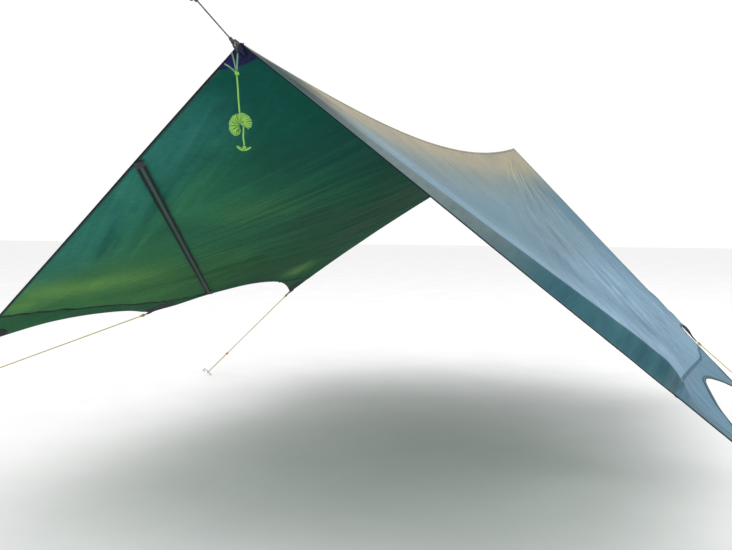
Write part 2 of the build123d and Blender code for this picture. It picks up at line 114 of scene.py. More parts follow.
class Graph:
    """A material's node graph, with short calls for the nodes that the finishes use."""

    def __init__(self, name: str) -> None:
        """Start an empty material with one Principled shader.

        Args:
            name: the material's name.
        """
        self.material = bpy.data.materials.new(name)
        self.material.use_nodes = True
        self.tree = self.material.node_tree
        self.tree.nodes.clear()
        self.shader = self.add("ShaderNodeBsdfPrincipled")
        output = self.add("ShaderNodeOutputMaterial")
        self.link(self.shader.outputs["BSDF"], output.inputs["Surface"])

    def add(self, kind: str, **settings: object) -> bpy.types.Node:
        """A new node with its properties set.

        Args:
            kind: the node's type name.
            settings: properties to set on it.

        Returns:
            The node.
        """
        node = self.tree.nodes.new(kind)
        for key, value in settings.items():
            setattr(node, key, value)
        return node

    def link(self, source: bpy.types.NodeSocket, target: bpy.types.NodeSocket) -> None:
        """Join two sockets."""
        self.tree.links.new(source, target)

    def feed(self, target: bpy.types.NodeSocket, value: object) -> None:
        """Give a socket a link or a fixed value.

        Args:
            target: the socket to fill.
            value: an output socket, a number, or a colour of three numbers.
        """
        if isinstance(value, bpy.types.NodeSocket):
            self.link(value, target)
        elif isinstance(value, tuple) and target.type == "RGBA":
            target.default_value = (*value, 1.0)
        else:
            target.default_value = value

    def maths(self, operation: str, first: object, second: object = 0.0) -> bpy.types.NodeSocket:
        """A Math node's result."""
        node = self.add("ShaderNodeMath", operation=operation)
        self.feed(node.inputs[0], first)
        self.feed(node.inputs[1], second)
        return node.outputs[0]

    def mix(self, share: object, first: object, second: object, blend: str = "MIX") -> bpy.types.NodeSocket:
        """A colour mix.

        Args:
            share: how much of the second colour.
            first: the colour at share 0.
            second: the colour at share 1.
            blend: the mix node's blend type.

        Returns:
            The mixed colour's socket.
        """
        node = self.add("ShaderNodeMix", data_type="RGBA", blend_type=blend, clamp_factor=True)
        self.feed(node.inputs[0], share)
        self.feed(node.inputs[6], first)
        self.feed(node.inputs[7], second)
        return node.outputs[2]

    def span(self, value: object, low: float, high: float, to_low: float = 0.0, to_high: float = 1.0,
             soft: bool = True) -> bpy.types.NodeSocket:
        """A value mapped from one range to another, held at both ends.

        Args:
            value: the value to map.
            low: the start of its range.
            high: the end of its range.
            to_low: the result at low.
            to_high: the result at high.
            soft: ease in and out.

        Returns:
            The mapped value's socket.
        """
        kind = "SMOOTHSTEP" if soft else "LINEAR"
        node = self.add("ShaderNodeMapRange", interpolation_type=kind, clamp=True)
        for index, number in enumerate((value, low, high, to_low, to_high)):
            self.feed(node.inputs[index], number)
        return node.outputs[0]

    def noise(self, place: object, scale: float, detail: float = 3.0,
              rough: float = 0.5) -> bpy.types.NodeSocket:
        """A noise value, about 0.3 to 0.7."""
        node = self.add("ShaderNodeTexNoise")
        self.feed(node.inputs["Vector"], place)
        node.inputs["Scale"].default_value = scale
        node.inputs["Detail"].default_value = detail
        node.inputs["Roughness"].default_value = rough
        return node.outputs["Fac"]

    def wave(self, value: object, pitch: float) -> bpy.types.NodeSocket:
        """A sine of a length in metres, 0 to 1, that repeats every pitch."""
        return self.half(self.maths("MULTIPLY", value, 2 * math.pi / pitch))

    def half(self, angle: object) -> bpy.types.NodeSocket:
        """A sine of an angle, brought to 0 to 1."""
        sine = self.maths("SINE", angle)
        return self.maths("ADD", self.maths("MULTIPLY", sine, 0.5), 0.5)

    def position(self) -> bpy.types.NodeSocket:
        """The place on the object, in metres."""
        return self.add("ShaderNodeTexCoord").outputs["Object"]

    def attribute(self, name: str) -> bpy.types.Node:
        """A named mesh attribute's node."""
        return self.add("ShaderNodeAttribute", attribute_name=name)

    def split(self, vector: bpy.types.NodeSocket) -> List[bpy.types.NodeSocket]:
        """A vector's three numbers."""
        node = self.add("ShaderNodeSeparateXYZ")
        self.link(vector, node.inputs[0])
        return list(node.outputs)

    def stretch(self, vector: bpy.types.NodeSocket, scale: Tuple[float, float, float],
                turn: float = 0.0) -> bpy.types.NodeSocket:
        """A place turned about Z and scaled axis by axis."""
        node = self.add("ShaderNodeMapping")
        self.link(vector, node.inputs["Vector"])
        node.inputs["Rotation"].default_value = (0, 0, turn)
        node.inputs["Scale"].default_value = scale
        return node.outputs[0]

    def bump(self, height: bpy.types.NodeSocket, depth: float) -> None:
        """Raise the shader's surface by a height, depth metres from 0 to 1."""
        node = self.add("ShaderNodeBump")
        node.inputs["Distance"].default_value = depth
        node.inputs["Strength"].default_value = 1.0
        self.link(height, node.inputs["Height"])
        self.link(node.outputs[0], self.shader.inputs["Normal"])

    def set(self, **values: float) -> None:
        """Set the shader's own sockets; underscores in a name stand for spaces."""
        for key, value in values.items():
            self.feed(self.shader.inputs[key.replace("_", " ")], value)


@dataclass(frozen=True)
class CoatedCloth:
    """Thin coated ripstop cloth: its colour, light and shade painted in pulled streaks that fan from the ties
    and in fine creases, and a darker ripstop grid.
    """

    name: str
    # Tints for the painted light and shade on the streaks and creases; dark also darkens the ripstop grid.
    light: Colour = (1.30, 1.24, 1.16)
    dark: Colour = (0.62, 0.70, 0.74)
    gloss: float = 0.5
    shine: float = 0.12
    ripstop: float = 0.006
    fold_depth: float = 0.0022
    # The inset and half-width of a dark line of painted shade along a crease; none when the width is nought.
    crease: Tuple[float, float] = (0.0, 0.0)

    def build(self) -> bpy.types.Material:
        """The finish as a material."""
        graph = Graph(self.name)
        cloth = graph.attribute("cloth").outputs["Vector"]
        down, along, inset = graph.split(cloth)
        first = self.streaks(graph, "pull_first", (46.0, 1.3, 0.0))
        second = self.streaks(graph, "pull_second", (40.0, 1.1, 0.0))
        drift = graph.noise(graph.stretch(cloth, (2.2, 1.3, 0.0)), 1.6, 4.0, 0.6)
        fine = graph.noise(graph.stretch(cloth, (70.0, 30.0, 0.0), 0.5), 1.0, 4.0, 0.65)
        # The cloth's colour at each vertex, with light, shade and glow painted in.
        base = graph.attribute("dye").outputs["Vector"]
        # Each field lightens the colour where it runs high and darkens it where it runs low: painted light and
        # shade along the pulls that fan from the ties and in the fine creases, and broad lighter and darker
        # patches.
        for field, strength in ((first, 0.85), (second, 0.85), (drift, 0.55), (fine, 0.28)):
            lighter = graph.mix(1.0, base, self.light, "MULTIPLY")
            base = graph.mix(graph.span(field, 0.50, 0.66, 0.0, strength), base, lighter)
            darker = graph.mix(1.0, base, self.dark, "MULTIPLY")
            base = graph.mix(graph.span(field, 0.50, 0.34, 0.0, strength), base, darker)
        grid_down = graph.span(graph.wave(down, self.ripstop), 0.90, 1.0)
        grid_along = graph.span(graph.wave(along, self.ripstop), 0.90, 1.0)
        grid = graph.maths("MAXIMUM", grid_down, grid_along)
        darker = graph.mix(1.0, base, self.dark, "MULTIPLY")
        base = graph.mix(graph.maths("MULTIPLY", grid, 0.22), base, darker)
        # A dark line of painted shade in the crease where the near strip turns down.
        if self.crease[1] > 0:
            away = graph.maths("ABSOLUTE", graph.maths("SUBTRACT", inset, self.crease[0]))
            line = graph.span(away, self.crease[1], 0.0, 0.0, 0.8)
            base = graph.mix(line, base, graph.mix(1.0, base, (0.30, 0.40, 0.44), "MULTIPLY"))
        graph.feed(graph.shader.inputs["Base Color"], base)
        rough = graph.span(drift, 0.3, 0.7, self.gloss - 0.06, self.gloss + 0.12)
        graph.feed(graph.shader.inputs["Roughness"], rough)
        folds = graph.maths("MULTIPLY", graph.maths("ADD", first, second), 2.0)
        folds = graph.maths("ADD", folds, graph.maths("MULTIPLY", fine, 0.5))
        graph.bump(graph.maths("ADD", folds, graph.maths("MULTIPLY", grid, 0.06)), self.fold_depth)
        graph.set(Specular_IOR_Level=self.shine)
        return graph.material

    def streaks(self, graph: Graph, mark: str, scale: Tuple[float, float, float]) -> bpy.types.NodeSocket:
        """Streaks along a fan's rays, faded to an even 0.5 where the fan's share is nought.

        Args:
            graph: the material's graph.
            mark: the attribute with angle, distance and share.
            scale: how fine the streaks are across and along the rays.

        Returns:
            The streaks' socket.
        """
        vector = graph.attribute(mark).outputs["Vector"]
        share = graph.split(vector)[2]
        field = graph.noise(graph.stretch(vector, scale), 1.0, 4.0, 0.6)
        return graph.maths("ADD", graph.maths("MULTIPLY", graph.maths("SUBTRACT", field, 0.5), share), 0.5)


@dataclass(frozen=True)
class WovenTape:
    """Ribbed tape or webbing: ribs across its width, darker selvedges, a little fading."""

    name: str
    colour: Colour
    worn: Colour
    rib: float = 0.0016
    rough: float = 0.82
    middle: Optional[Colour] = None

    def build(self) -> bpy.types.Material:
        """The finish as a material."""
        graph = Graph(self.name)
        along, across, _ = graph.split(graph.attribute("tape").outputs["Vector"])
        ribs = graph.wave(along, self.rib)
        twill = graph.wave(graph.maths("ADD", along, graph.maths("MULTIPLY", across, 0.012)), self.rib * 2)
        fade = graph.noise(graph.position(), 9.0, 4.0, 0.6)
        base = graph.mix(graph.span(fade, 0.42, 0.72, 0.0, 0.7), self.colour, self.worn)
        if self.middle is not None:
            inside = graph.span(graph.maths("ABSOLUTE", across), 0.13, 0.20, 1.0, 0.0)
            base = graph.mix(inside, base, self.middle)
        base = graph.mix(graph.maths("MULTIPLY", ribs, 0.25), base, self.worn)
        graph.feed(graph.shader.inputs["Base Color"], base)
        graph.bump(graph.maths("ADD", ribs, graph.maths("MULTIPLY", twill, 0.5)), 0.0002)
        graph.set(Roughness=self.rough, Specular_IOR_Level=0.3)
        return graph.material


@dataclass(frozen=True)
class HemTape:
    """Folded hem tape: a dark lip of painted shade along its fold, and a band that is paler outside than
    beneath as painted light on the upper face, with fine ribs.
    """

    name: str
    lip: Colour
    outside: Colour
    beneath: Colour
    lip_outside: float = 0.10
    lip_beneath: float = 0.34
    rib: float = 0.0016

    def build(self) -> bpy.types.Material:
        """The finish as a material."""
        graph = Graph(self.name)
        along, across, face = graph.split(graph.attribute("tape").outputs["Vector"])
        ribs = graph.wave(along, self.rib)
        fade = graph.noise(graph.position(), 9.0, 4.0, 0.6)
        # The band is paler on its outside face: painted light on the upper face of the same tape.
        upper = graph.span(face, -0.1, 0.1)
        band = graph.mix(upper, self.beneath, self.outside)
        worn = graph.mix(1.0, band, (0.6, 0.66, 0.7), "MULTIPLY")
        band = graph.mix(graph.span(fade, 0.4, 0.7, 0.0, 0.5), band, worn)
        # The dark lip along the fold is painted shade, wider beneath than outside.
        edge = graph.span(upper, 0.0, 1.0, self.lip_beneath - 0.5, self.lip_outside - 0.5, soft=False)
        inner = graph.span(graph.maths("SUBTRACT", across, edge), 0.0, 0.06)
        base = graph.mix(inner, self.lip, band)
        darker = graph.mix(1.0, base, (0.7, 0.7, 0.7), "MULTIPLY")
        base = graph.mix(graph.maths("MULTIPLY", ribs, 0.2), base, darker)
        graph.feed(graph.shader.inputs["Base Color"], base)
        graph.bump(ribs, 0.0002)
        graph.set(Roughness=0.8, Specular_IOR_Level=0.2)
        return graph.material


@dataclass(frozen=True)
class Braid:
    """Braided cord: two crossing sets of strands with a tracer fleck and rubbed high spots."""

    name: str
    colour: Colour
    worn: Colour
    tracer: Colour
    pitch: float = 0.006

    def build(self) -> bpy.types.Material:
        """The finish as a material."""
        graph = Graph(self.name)
        along, around, _ = graph.split(graph.attribute("braid").outputs["Vector"])
        turns = graph.maths("MULTIPLY", around, 2 * math.pi * 4)
        run = graph.maths("MULTIPLY", along, 2 * math.pi / self.pitch)
        one = graph.half(graph.maths("ADD", run, turns))
        two = graph.half(graph.maths("SUBTRACT", run, turns))
        strands = graph.maths("MAXIMUM", one, two)
        slow = graph.half(graph.maths("MULTIPLY", run, 0.5))
        fleck = graph.span(graph.maths("MULTIPLY", one, slow), 0.80, 0.92)
        wear = graph.noise(graph.position(), 40.0, 4.0, 0.6)
        base = graph.mix(graph.span(strands, 0.1, 0.9, 0.55, 0.0), self.colour, self.worn)
        base = graph.mix(graph.maths("MULTIPLY", fleck, 0.5), base, self.tracer)
        base = graph.mix(graph.span(wear, 0.5, 0.7, 0.0, 0.5), base, self.worn)
        graph.feed(graph.shader.inputs["Base Color"], base)
        graph.bump(strands, 0.0004)
        graph.set(Roughness=0.75, Specular_IOR_Level=0.3)
        return graph.material


@dataclass(frozen=True)
class Moulding:
    """Moulded plastic or drawn metal with a fine grain and rubbed edges."""

    name: str
    colour: Colour
    worn: Colour
    metal: float = 0.0
    rough: float = 0.5
    grain: float = 900.0

    def build(self) -> bpy.types.Material:
        """The finish as a material."""
        graph = Graph(self.name)
        place = graph.position()
        grain = graph.noise(place, self.grain, 2.0)
        scuff = graph.noise(graph.stretch(place, (1.0, 1.0, 4.0)), 60.0, 5.0, 0.65)
        base = graph.mix(graph.span(scuff, 0.52, 0.68, 0.0, 0.6), self.colour, self.worn)
        graph.feed(graph.shader.inputs["Base Color"], base)
        rough = graph.span(scuff, 0.35, 0.7, self.rough - 0.08, self.rough + 0.15)
        graph.feed(graph.shader.inputs["Roughness"], rough)
        graph.bump(graph.maths("ADD", grain, graph.maths("MULTIPLY", scuff, 0.5)), 0.00006)
        graph.set(Metallic=self.metal)
        return graph.material


OUTSIDE = CoatedCloth("cloth_outside", gloss=0.5, shine=0.04)
# The right panel's outside carries painted shade along the crease at the near strip's inner edge.
OUTSIDE_RIGHT = CoatedCloth("cloth_outside_right", gloss=0.5, shine=0.04, crease=(0.062, 0.006))
INSIDE = CoatedCloth("cloth_inside", light=(1.45, 1.30, 1.22), dark=(0.55, 0.72, 0.74), gloss=0.7, shine=0.02)
# Binding: a lip of painted shade, and a band paler outside than beneath as painted light.
BINDING = HemTape("binding_tape", shade(14, 24, 26), shade(70, 104, 112), shade(30, 80, 74))
RIDGE_PATCH = WovenTape("ridge_patch_cloth", shade(2, 10, 66), shade(8, 22, 92), rib=0.0022)
CORNER_PATCH = WovenTape("corner_patch_cloth", shade(12, 16, 18), shade(34, 42, 42), rib=0.0022)
LOOP_WEB = WovenTape("loop_webbing", shade(8, 12, 44), shade(18, 26, 70))
STRAP_WEB = WovenTape("strap_webbing", shade(6, 14, 18), shade(18, 30, 34), middle=shade(56, 92, 84))
# The felled seam's tape seen from each face: beneath, darker green in painted shade; outside, paler blue with a
# painted sky reflection.
SEAM_INSIDE = WovenTape("felled_seam_under", shade(10, 34, 26), shade(24, 54, 42), rib=0.003)
SEAM_OUTSIDE = WovenTape("felled_seam_outside", shade(52, 84, 104), shade(74, 106, 124), rib=0.003)
RIDGE_TAPE = WovenTape("ridge_seam_tape", shade(120, 116, 102), shade(150, 144, 126), rib=0.002)
THREAD = WovenTape("stitch_thread", shade(60, 84, 84), shade(96, 118, 116), rib=0.0005)
GUY_CORD = Braid("guy_cord_braid", shade(176, 160, 92), shade(196, 184, 128), shade(120, 112, 52))
RIDGE_CORD = Braid("ridge_cord_braid", shade(58, 64, 70), shade(104, 108, 110), shade(130, 132, 130))
HANK_CORD = Braid("hank_cord_braid", shade(124, 178, 80), shade(160, 200, 116), shade(74, 122, 54),
                  pitch=0.005)
# The legs are the same cord as the hank, in a greyer colour of painted shade.
HANK_LEG_CORD_SHADED = Braid("hank_leg_braid", shade(88, 132, 108), shade(120, 158, 132), shade(60, 96, 80),
                      pitch=0.005)
PLASTIC = Moulding("moulded_black", shade(24, 26, 30), shade(58, 60, 64), rough=0.45)
TENSIONER = Moulding("anodised_tensioner", shade(186, 96, 34), shade(214, 150, 96), metal=0.85, rough=0.32)
STAKE = Moulding("drawn_stake_metal", shade(168, 172, 178), shade(120, 122, 124), metal=1.0, rough=0.3)


class Paintbox:
    """Builds each finish once and hands out its material."""

    def __init__(self) -> None:
        """Start with no materials built."""
        self.built: Dict[str, bpy.types.Material] = {}

    def get(self, finish: object) -> bpy.types.Material:
        """The material of a finish, built when it is first asked for."""
        if finish.name not in self.built:
            self.built[finish.name] = finish.build()
        return self.built[finish.name]


PAINT = Paintbox()


# ---------------------------------------------------------------- meshes


def make_piece(name: str, points: Array, faces: Sequence[Sequence[int]], finish: object, body: str,
               marks: Optional[Dict[str, Array]] = None, flat_faces: bool = False) -> bpy.types.Object:
    """Make a mesh piece, dress it and let it ride on a body.

    Args:
        name: the piece's name.
        points: its vertices, in metres.
        faces: vertex indices of each face.
        finish: the finish it takes.
        body: the frame body it rides on.
        marks: vector attributes by name, one row a vertex.
        flat_faces: leave the faces unsmoothed.

    Returns:
        The new object.
    """
    mesh = bpy.data.meshes.new(name)
    mesh.from_pydata(np.asarray(points, float).tolist(), [], [list(map(int, face)) for face in faces])
    for key, values in (marks or {}).items():
        layer = mesh.attributes.new(key, "FLOAT_VECTOR", "POINT")
        layer.data.foreach_set("vector", np.asarray(values, np.float32).ravel())
    mesh.polygons.foreach_set("use_smooth", [not flat_faces] * len(mesh.polygons))
    mesh.materials.append(PAINT.get(finish))
    mesh.validate()
    piece = bpy.data.objects.new(name, mesh)
    bpy.context.scene.collection.objects.link(piece)
    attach(piece, body)
    LOG.info("%s: %d faces", name, len(mesh.polygons))
    return piece


def grid_faces(rows: int, columns: int, wrap: bool = False) -> List[List[int]]:
    """The quads of a grid of vertices, row by row.

    Args:
        rows: how many rows of vertices.
        columns: how many vertices a row.
        wrap: join the last column to the first.

    Returns:
        The faces.
    """
    faces = []
    across = columns if wrap else columns - 1
    for row in range(rows - 1):
        for column in range(across):
            after = (column + 1) % columns
            faces.append([row * columns + column, row * columns + after,
                          (row + 1) * columns + after, (row + 1) * columns + column])
    return faces


def lengths_along(path: Array) -> Array:
    """How far each point of a path is from its start."""
    steps = np.linalg.norm(np.diff(path, axis=0), axis=1)
    return np.concatenate([[0.0], np.cumsum(steps)])


def even_path(path: Array, step: float) -> Array:
    """A path's line with its points evenly spaced."""
    run = lengths_along(path)
    count = max(4, int(round(run[-1] / step)) + 1)
    target = np.linspace(0, run[-1], count)
    return np.stack([np.interp(target, run, path[:, axis]) for axis in range(3)], axis=1)


def tube(path: Array, radius: Callable[[Array], Array],
         sides: int = 12) -> Tuple[Array, List[List[int]], Array]:
    """A closed round tube along a path.

    Args:
        path: the centre line's points.
        radius: the radius as a function of the length along the path.
        sides: vertices round the tube.

    Returns:
        The vertices, the faces and the braid marks (along, around, 0).
    """
    run = lengths_along(path)
    tangents = np.gradient(path, axis=0)
    tangents /= np.linalg.norm(tangents, axis=1)[:, None]
    side = np.cross(tangents[0], (0.0, 0.0, 1.0))
    if np.linalg.norm(side) < 0.1:
        side = np.cross(tangents[0], (1.0, 0.0, 0.0))
    side /= np.linalg.norm(side)
    radii = radius(run)
    points, marks = [], []
    angles = np.arange(sides) * 2 * math.pi / sides
    for index, (centre, tangent) in enumerate(zip(path, tangents)):
        side = side - tangent * np.dot(side, tangent)
        side /= np.linalg.norm(side)
        other = np.cross(tangent, side)
        ring = centre + radii[index] * (np.cos(angles)[:, None] * side + np.sin(angles)[:, None] * other)
        points.append(ring)
        marks.append(np.stack([np.full(sides, run[index]), angles / (2 * math.pi), np.zeros(sides)], axis=1))
    faces = grid_faces(len(path), sides, wrap=True)
    faces.append(list(range(sides))[::-1])
    last = (len(path) - 1) * sides
    faces.append([last + k for k in range(sides)])
    return np.concatenate(points), faces, np.concatenate(marks)


def merge_parts(
        parts: Sequence[Tuple[Array, List[List[int]], Array]]) -> Tuple[Array, List[List[int]], Array]:
    """Several meshes as one: vertices, faces and marks."""
    points, faces, marks, start = [], [], [], 0
    for part_points, part_faces, part_marks in parts:
        points.append(part_points)
        marks.append(part_marks)
        faces.extend([[start + index for index in face] for face in part_faces])
        start += len(part_points)
    return np.concatenate(points), faces, np.concatenate(marks)


def spline_points(route: Sequence[Sequence[float]], resolution: int = 24) -> Array:
    """The smooth line of a cord's route, read from its NURBS spline.

    Args:
        route: the spline's control points, in metres.
        resolution: steps of the spline between control points.

    Returns:
        The line's points.
    """
    curve = bpy.data.curves.new("route", "CURVE")
    curve.dimensions = "3D"
    spline = curve.splines.new("NURBS")
    spline.points.add(len(route) - 1)
    for point, place in zip(spline.points, route):
        point.co = (*place, 1.0)
    spline.order_u = 3
    spline.use_endpoint_u = True
    spline.resolution_u = resolution
    holder = bpy.data.objects.new("route", curve)
    bpy.context.scene.collection.objects.link(holder)
    bpy.context.view_layer.update()
    mesh = bpy.data.meshes.new_from_object(holder)
    line = np.array([tuple(vertex.co) for vertex in mesh.vertices])
    bpy.data.objects.remove(holder)
    bpy.data.meshes.remove(mesh)
    bpy.data.curves.remove(curve)
    return line


# ---------------------------------------------------------------- the cut of the cloth


@dataclass(frozen=True)
class Corner:
    """A tie-out: width down the slope, place along the ridge, slope in degrees."""

    width: float
    place: float
    slope: float


@dataclass(frozen=True)
class Cut:
    """The tarp's cut and pitch, the same as the frame's."""

    ridge_length: float = 3.600
    ridge_sag: float = 0.108
    ridge_rise: float = 0.070
    panel_width: float = 1.580
    binding: float = 0.012
    half_cloth: float = 0.0004

    def corner(self, side: Side, place: Place) -> Corner:
        """One tie-out's sizes."""
        table = {
            (Side.LEFT, Place.NEAR): Corner(self.panel_width, 0.530, 31.4),
            (Side.LEFT, Place.MID): Corner(self.panel_width, 1.564, 31.3),
            (Side.LEFT, Place.FAR): Corner(self.panel_width, self.ridge_length - 0.544, 32.5),
            (Side.RIGHT, Place.NEAR): Corner(self.panel_width - 0.030, 0.700, 42.0),
            (Side.RIGHT, Place.MID): Corner(self.panel_width + 0.013, 1.700, 40.9),
            (Side.RIGHT, Place.FAR): Corner(self.panel_width - 0.073, self.ridge_length - 0.460, 43.9),
        }
        return table[(side, place)]

    def seam_widths(self, side: Side) -> Tuple[float, float, float]:
        """How far down the slope the cross seam lies at the near, mid and far tie-outs."""
        insets = (0.220, 0.140, 0.148) if side is Side.LEFT else (0.330, 0.190, 0.160)
        near, mid, far = (self.panel_width - inset for inset in insets)
        return near, mid, far

    def bays(self, side: Side) -> Tuple[float, float]:
        """How deep the near and the far cat cut are."""
        return (0.118, 0.190) if side is Side.LEFT else (0.190, 0.200)


CUT = Cut()


class Panel:
    """One sloping panel's surface: its pitch, its outline and the folds in its cloth."""

    def __init__(self, side: Side, cut: Cut = CUT) -> None:
        """Set out the panel.

        Args:
            side: which panel.
            cut: the tarp's cut.
        """
        self.side = side
        self.cut = cut
        self.tips = {place: self.tip(place) for place in Place}
        near, far = self.tips[Place.NEAR], self.tips[Place.FAR]
        self.mid_share = (self.tips[Place.MID][1] - near[1]) / (far[1] - near[1])
        slope = math.radians(cut.corner(side, Place.MID).slope)
        sign = side.value
        self.across = np.array([sign * math.cos(slope), 0.0, -math.sin(slope)])
        self.plane_normal = np.array([sign * math.sin(slope), 0.0, math.cos(slope)])

    def tip(self, place: Place) -> Array:
        """The fabric point of a tie-out."""
        corner = self.cut.corner(self.side, place)
        slope = math.radians(corner.slope)
        return np.array([self.side.value * corner.width * math.cos(slope), corner.place,
                         -corner.width * math.sin(slope)])

    def ridge(self, v: Array) -> Array:
        """Points of the ridge seam, v from 0 at the near end to 1 at the far end."""
        v = np.asarray(v, float)
        cut = self.cut
        height = v * cut.ridge_rise - 4 * cut.ridge_sag * v * (1 - v)
        return np.stack([np.zeros_like(v), v * cut.ridge_length, height], axis=-1)

    def hem(self, v: Array) -> Array:
        """Points of the smooth line through the three tie-outs."""
        v = np.asarray(v, float)[..., None]
        m = self.mid_share
        near = self.tips[Place.NEAR] * (v - m) * (v - 1) / m
        mid = self.tips[Place.MID] * v * (v - 1) / (m * (m - 1))
        far = self.tips[Place.FAR] * v * (v - m) / (1 - m)
        return near + mid + far

    def base(self, u: Array, v: Array) -> Array:
        """Points of the unfolded surface, u from the ridge to the tie-outs."""
        u = np.asarray(u, float)[..., None]
        return self.ridge(v) * (1 - u) + self.hem(v) * u

    def normal(self, u: Array, v: Array) -> Array:
        """The outward normals of the unfolded surface."""
        step = 0.001
        along = self.base(u, v + step) - self.base(u, v - step)
        down = self.base(u + step, v) - self.base(u - step, v)
        out = np.cross(down, along) * self.side.value
        return out / np.linalg.norm(out, axis=-1)[..., None]

    def flat(self, points: Array) -> Array:
        """Points laid in the panel's own plane, as (down the slope, along the ridge)."""
        points = np.asarray(points, float)
        return np.stack([points @ self.across, points[..., 1]], axis=-1)

    def solve(self, s: Array, y: Array) -> Tuple[Array, Array]:
        """The (u, v) of places drawn in the panel's plane.

        Args:
            s: distance down the slope.
            y: distance along the ridge.

        Returns:
            The u and the v arrays.
        """
        s, y = np.broadcast_arrays(np.asarray(s, float), np.asarray(y, float))
        u = s / self.cut.panel_width
        v = y / self.cut.ridge_length
        step = 1e-5
        for _ in range(8):
            here = self.flat(self.base(u, v))
            by_u = (self.flat(self.base(u + step, v)) - here) / step
            by_v = (self.flat(self.base(u, v + step)) - here) / step
            miss = np.stack([s - here[..., 0], y - here[..., 1]], axis=-1)
            det = by_u[..., 0] * by_v[..., 1] - by_v[..., 0] * by_u[..., 1]
            u = u + (miss[..., 0] * by_v[..., 1] - by_v[..., 0] * miss[..., 1]) / det
            v = v + (by_u[..., 0] * miss[..., 1] - miss[..., 0] * by_u[..., 1]) / det
        return u, v

    def arc(self, near: bool) -> Tuple[Array, float]:
        """The circle of a cat-cut bay in the panel's plane.

        Args:
            near: the near bay rather than the far one.

        Returns:
            Its centre and its radius.
        """
        depth = self.cut.bays(self.side)[0 if near else 1]
        first = self.flat(self.tips[Place.NEAR if near else Place.MID])
        second = self.flat(self.tips[Place.MID if near else Place.FAR])
        middle = (first + second) / 2
        half = np.linalg.norm(second - first) / 2
        radius = (half * half + depth * depth) / (2 * depth)
        run = (second - first) / (2 * half)
        outward = np.array([run[1], -run[0]])
        if outward[0] < 0:
            outward = -outward
        return middle + outward * (radius - depth), radius

    def hem_s(self, y: Array, inset: float = 0.0) -> Array:
        """How far down the slope the cat-cut hem lies at each place along the ridge."""
        y = np.asarray(y, float)
        result = np.zeros_like(y)
        split = self.flat(self.tips[Place.MID])[1]
        for near in (True, False):
            centre, radius = self.arc(near)
            reach = np.sqrt(np.maximum((radius + inset) ** 2 - (y - centre[1]) ** 2, 0))
            chosen = y <= split if near else y > split
            result = np.where(chosen, centre[0] - reach, result)
        return result

    def hem_u(self, v: Array) -> Array:
        """The u of the cat-cut hem at each v."""
        v = np.asarray(v, float)
        u = np.full_like(v, 0.95)
        for _ in range(12):
            place = self.flat(self.base(u, v))
            error = self.hem_s(place[..., 1]) - place[..., 0]
            u = np.clip(u + 0.9 * error / self.cut.panel_width, 0.5, 1.0)
        u = np.where(np.abs(v - self.mid_share) < 1e-9, 1.0, u)
        return np.where((v <= 0) | (v >= 1), 1.0, u)

    def folds(self, u: Array, v: Array) -> Array:
        """How far the cloth stands off its unfolded surface: long pulls, fans at the ties, and billow."""
        place = self.flat(self.base(u, v))
        s, y = place[..., 0], place[..., 1]
        corners = [self.flat(self.ridge(np.array(0.0))), self.flat(self.ridge(np.array(1.0)))]
        corners += [self.flat(self.tips[where]) for where in Place]
        rise = np.zeros_like(s)
        quiet = np.ones_like(s)
        for index, corner in enumerate(corners):
            away = np.hypot(s - corner[0], y - corner[1])
            angle = np.arctan2(y - corner[1], s - corner[0])
            wobble = 0.05 * np.sin(3.1 * away + 1.7 * index)
            ripple = np.sin(17 * (angle + wobble) + 0.9 * index)
            ripple += 0.45 * np.sin(29 * (angle - wobble) + 2.3 * index)
            rise += 0.0035 * ripple * smooth(0.05, 0.30, away) * np.exp(-away / 0.55)
            quiet *= smooth(0.03, 0.16, away)
        for fan, sizes in zip(pull_fans(self, s, y), self.pull_sizes()):
            angle, away, share = fan[..., 0], fan[..., 1], fan[..., 2]
            for count, height in sizes:
                bend = 0.02 * np.sin(2.3 * away + count)
                strength = 0.55 + 0.45 * np.sin(count * 0.23 * angle + 1.9 * away)
                rise += height * share * strength * np.sin(count * (angle + bend) + 0.7 * count)
        drape = 0.005 * np.sin(2.1 * y + 3.2 * s + 0.4) * np.sin(2.6 * s + 0.3)
        drape += 0.003 * np.sin(5.3 * y - 2.7 * s + 1.1)
        edge = np.minimum(np.minimum(v, 1 - v) * 9.0, 1.0)
        rise = (rise + drape) * (0.2 + 0.8 * edge) * smooth(0.0, 0.05, u)
        return rise * quiet + self.billow(s, y, u, v)

    def pull_sizes(self) -> Tuple[Tuple[Tuple[float, float], ...], ...]:
        """The waves a radian and the heights of each fan of pulls."""
        if self.side is Side.LEFT:
            return ((210.0, 0.0030), (337.0, 0.0014)), ((58.0, 0.0022), (97.0, 0.0015), (141.0, 0.0008))
        return ((70.0, 0.0034), (117.0, 0.0020), (171.0, 0.0010)), ((31.0, 0.0015), (53.0, 0.0010))

    def billow(self, s: Array, y: Array, u: Array, v: Array) -> Array:
        """The slow curve of the cloth between its taut edges."""
        if self.side is Side.LEFT:
            return 0.030 * np.sin(np.pi * np.clip(u, 0, 1)) * smooth(0.55, 1.0, v)
        inset = self.edge_inset(s, y)
        rise = 0.006 + 0.040 * smooth(0.10, 1.20, s)
        rise = rise * (1 - smooth(1.16, 1.34, s)) * smooth(0.0, 0.06, s)
        return rise * smooth(0.010, 0.060, inset) * np.exp(-np.maximum(inset - 0.062, 0) / 0.60)

    def edge_inset(self, s: Array, y: Array) -> Array:
        """How far inside the straight near edge each place lies."""
        near = self.flat(self.tips[Place.NEAR])
        return (y * near[0] - s * near[1]) / np.linalg.norm(near)

    def surface(self, u: Array, v: Array, height: float = 0.0) -> Array:
        """Points of the folded cloth, raised by a height along its normals."""
        normal = self.normal(u, v)
        return self.base(u, v) + normal * (self.folds(u, v) + height)[..., None]

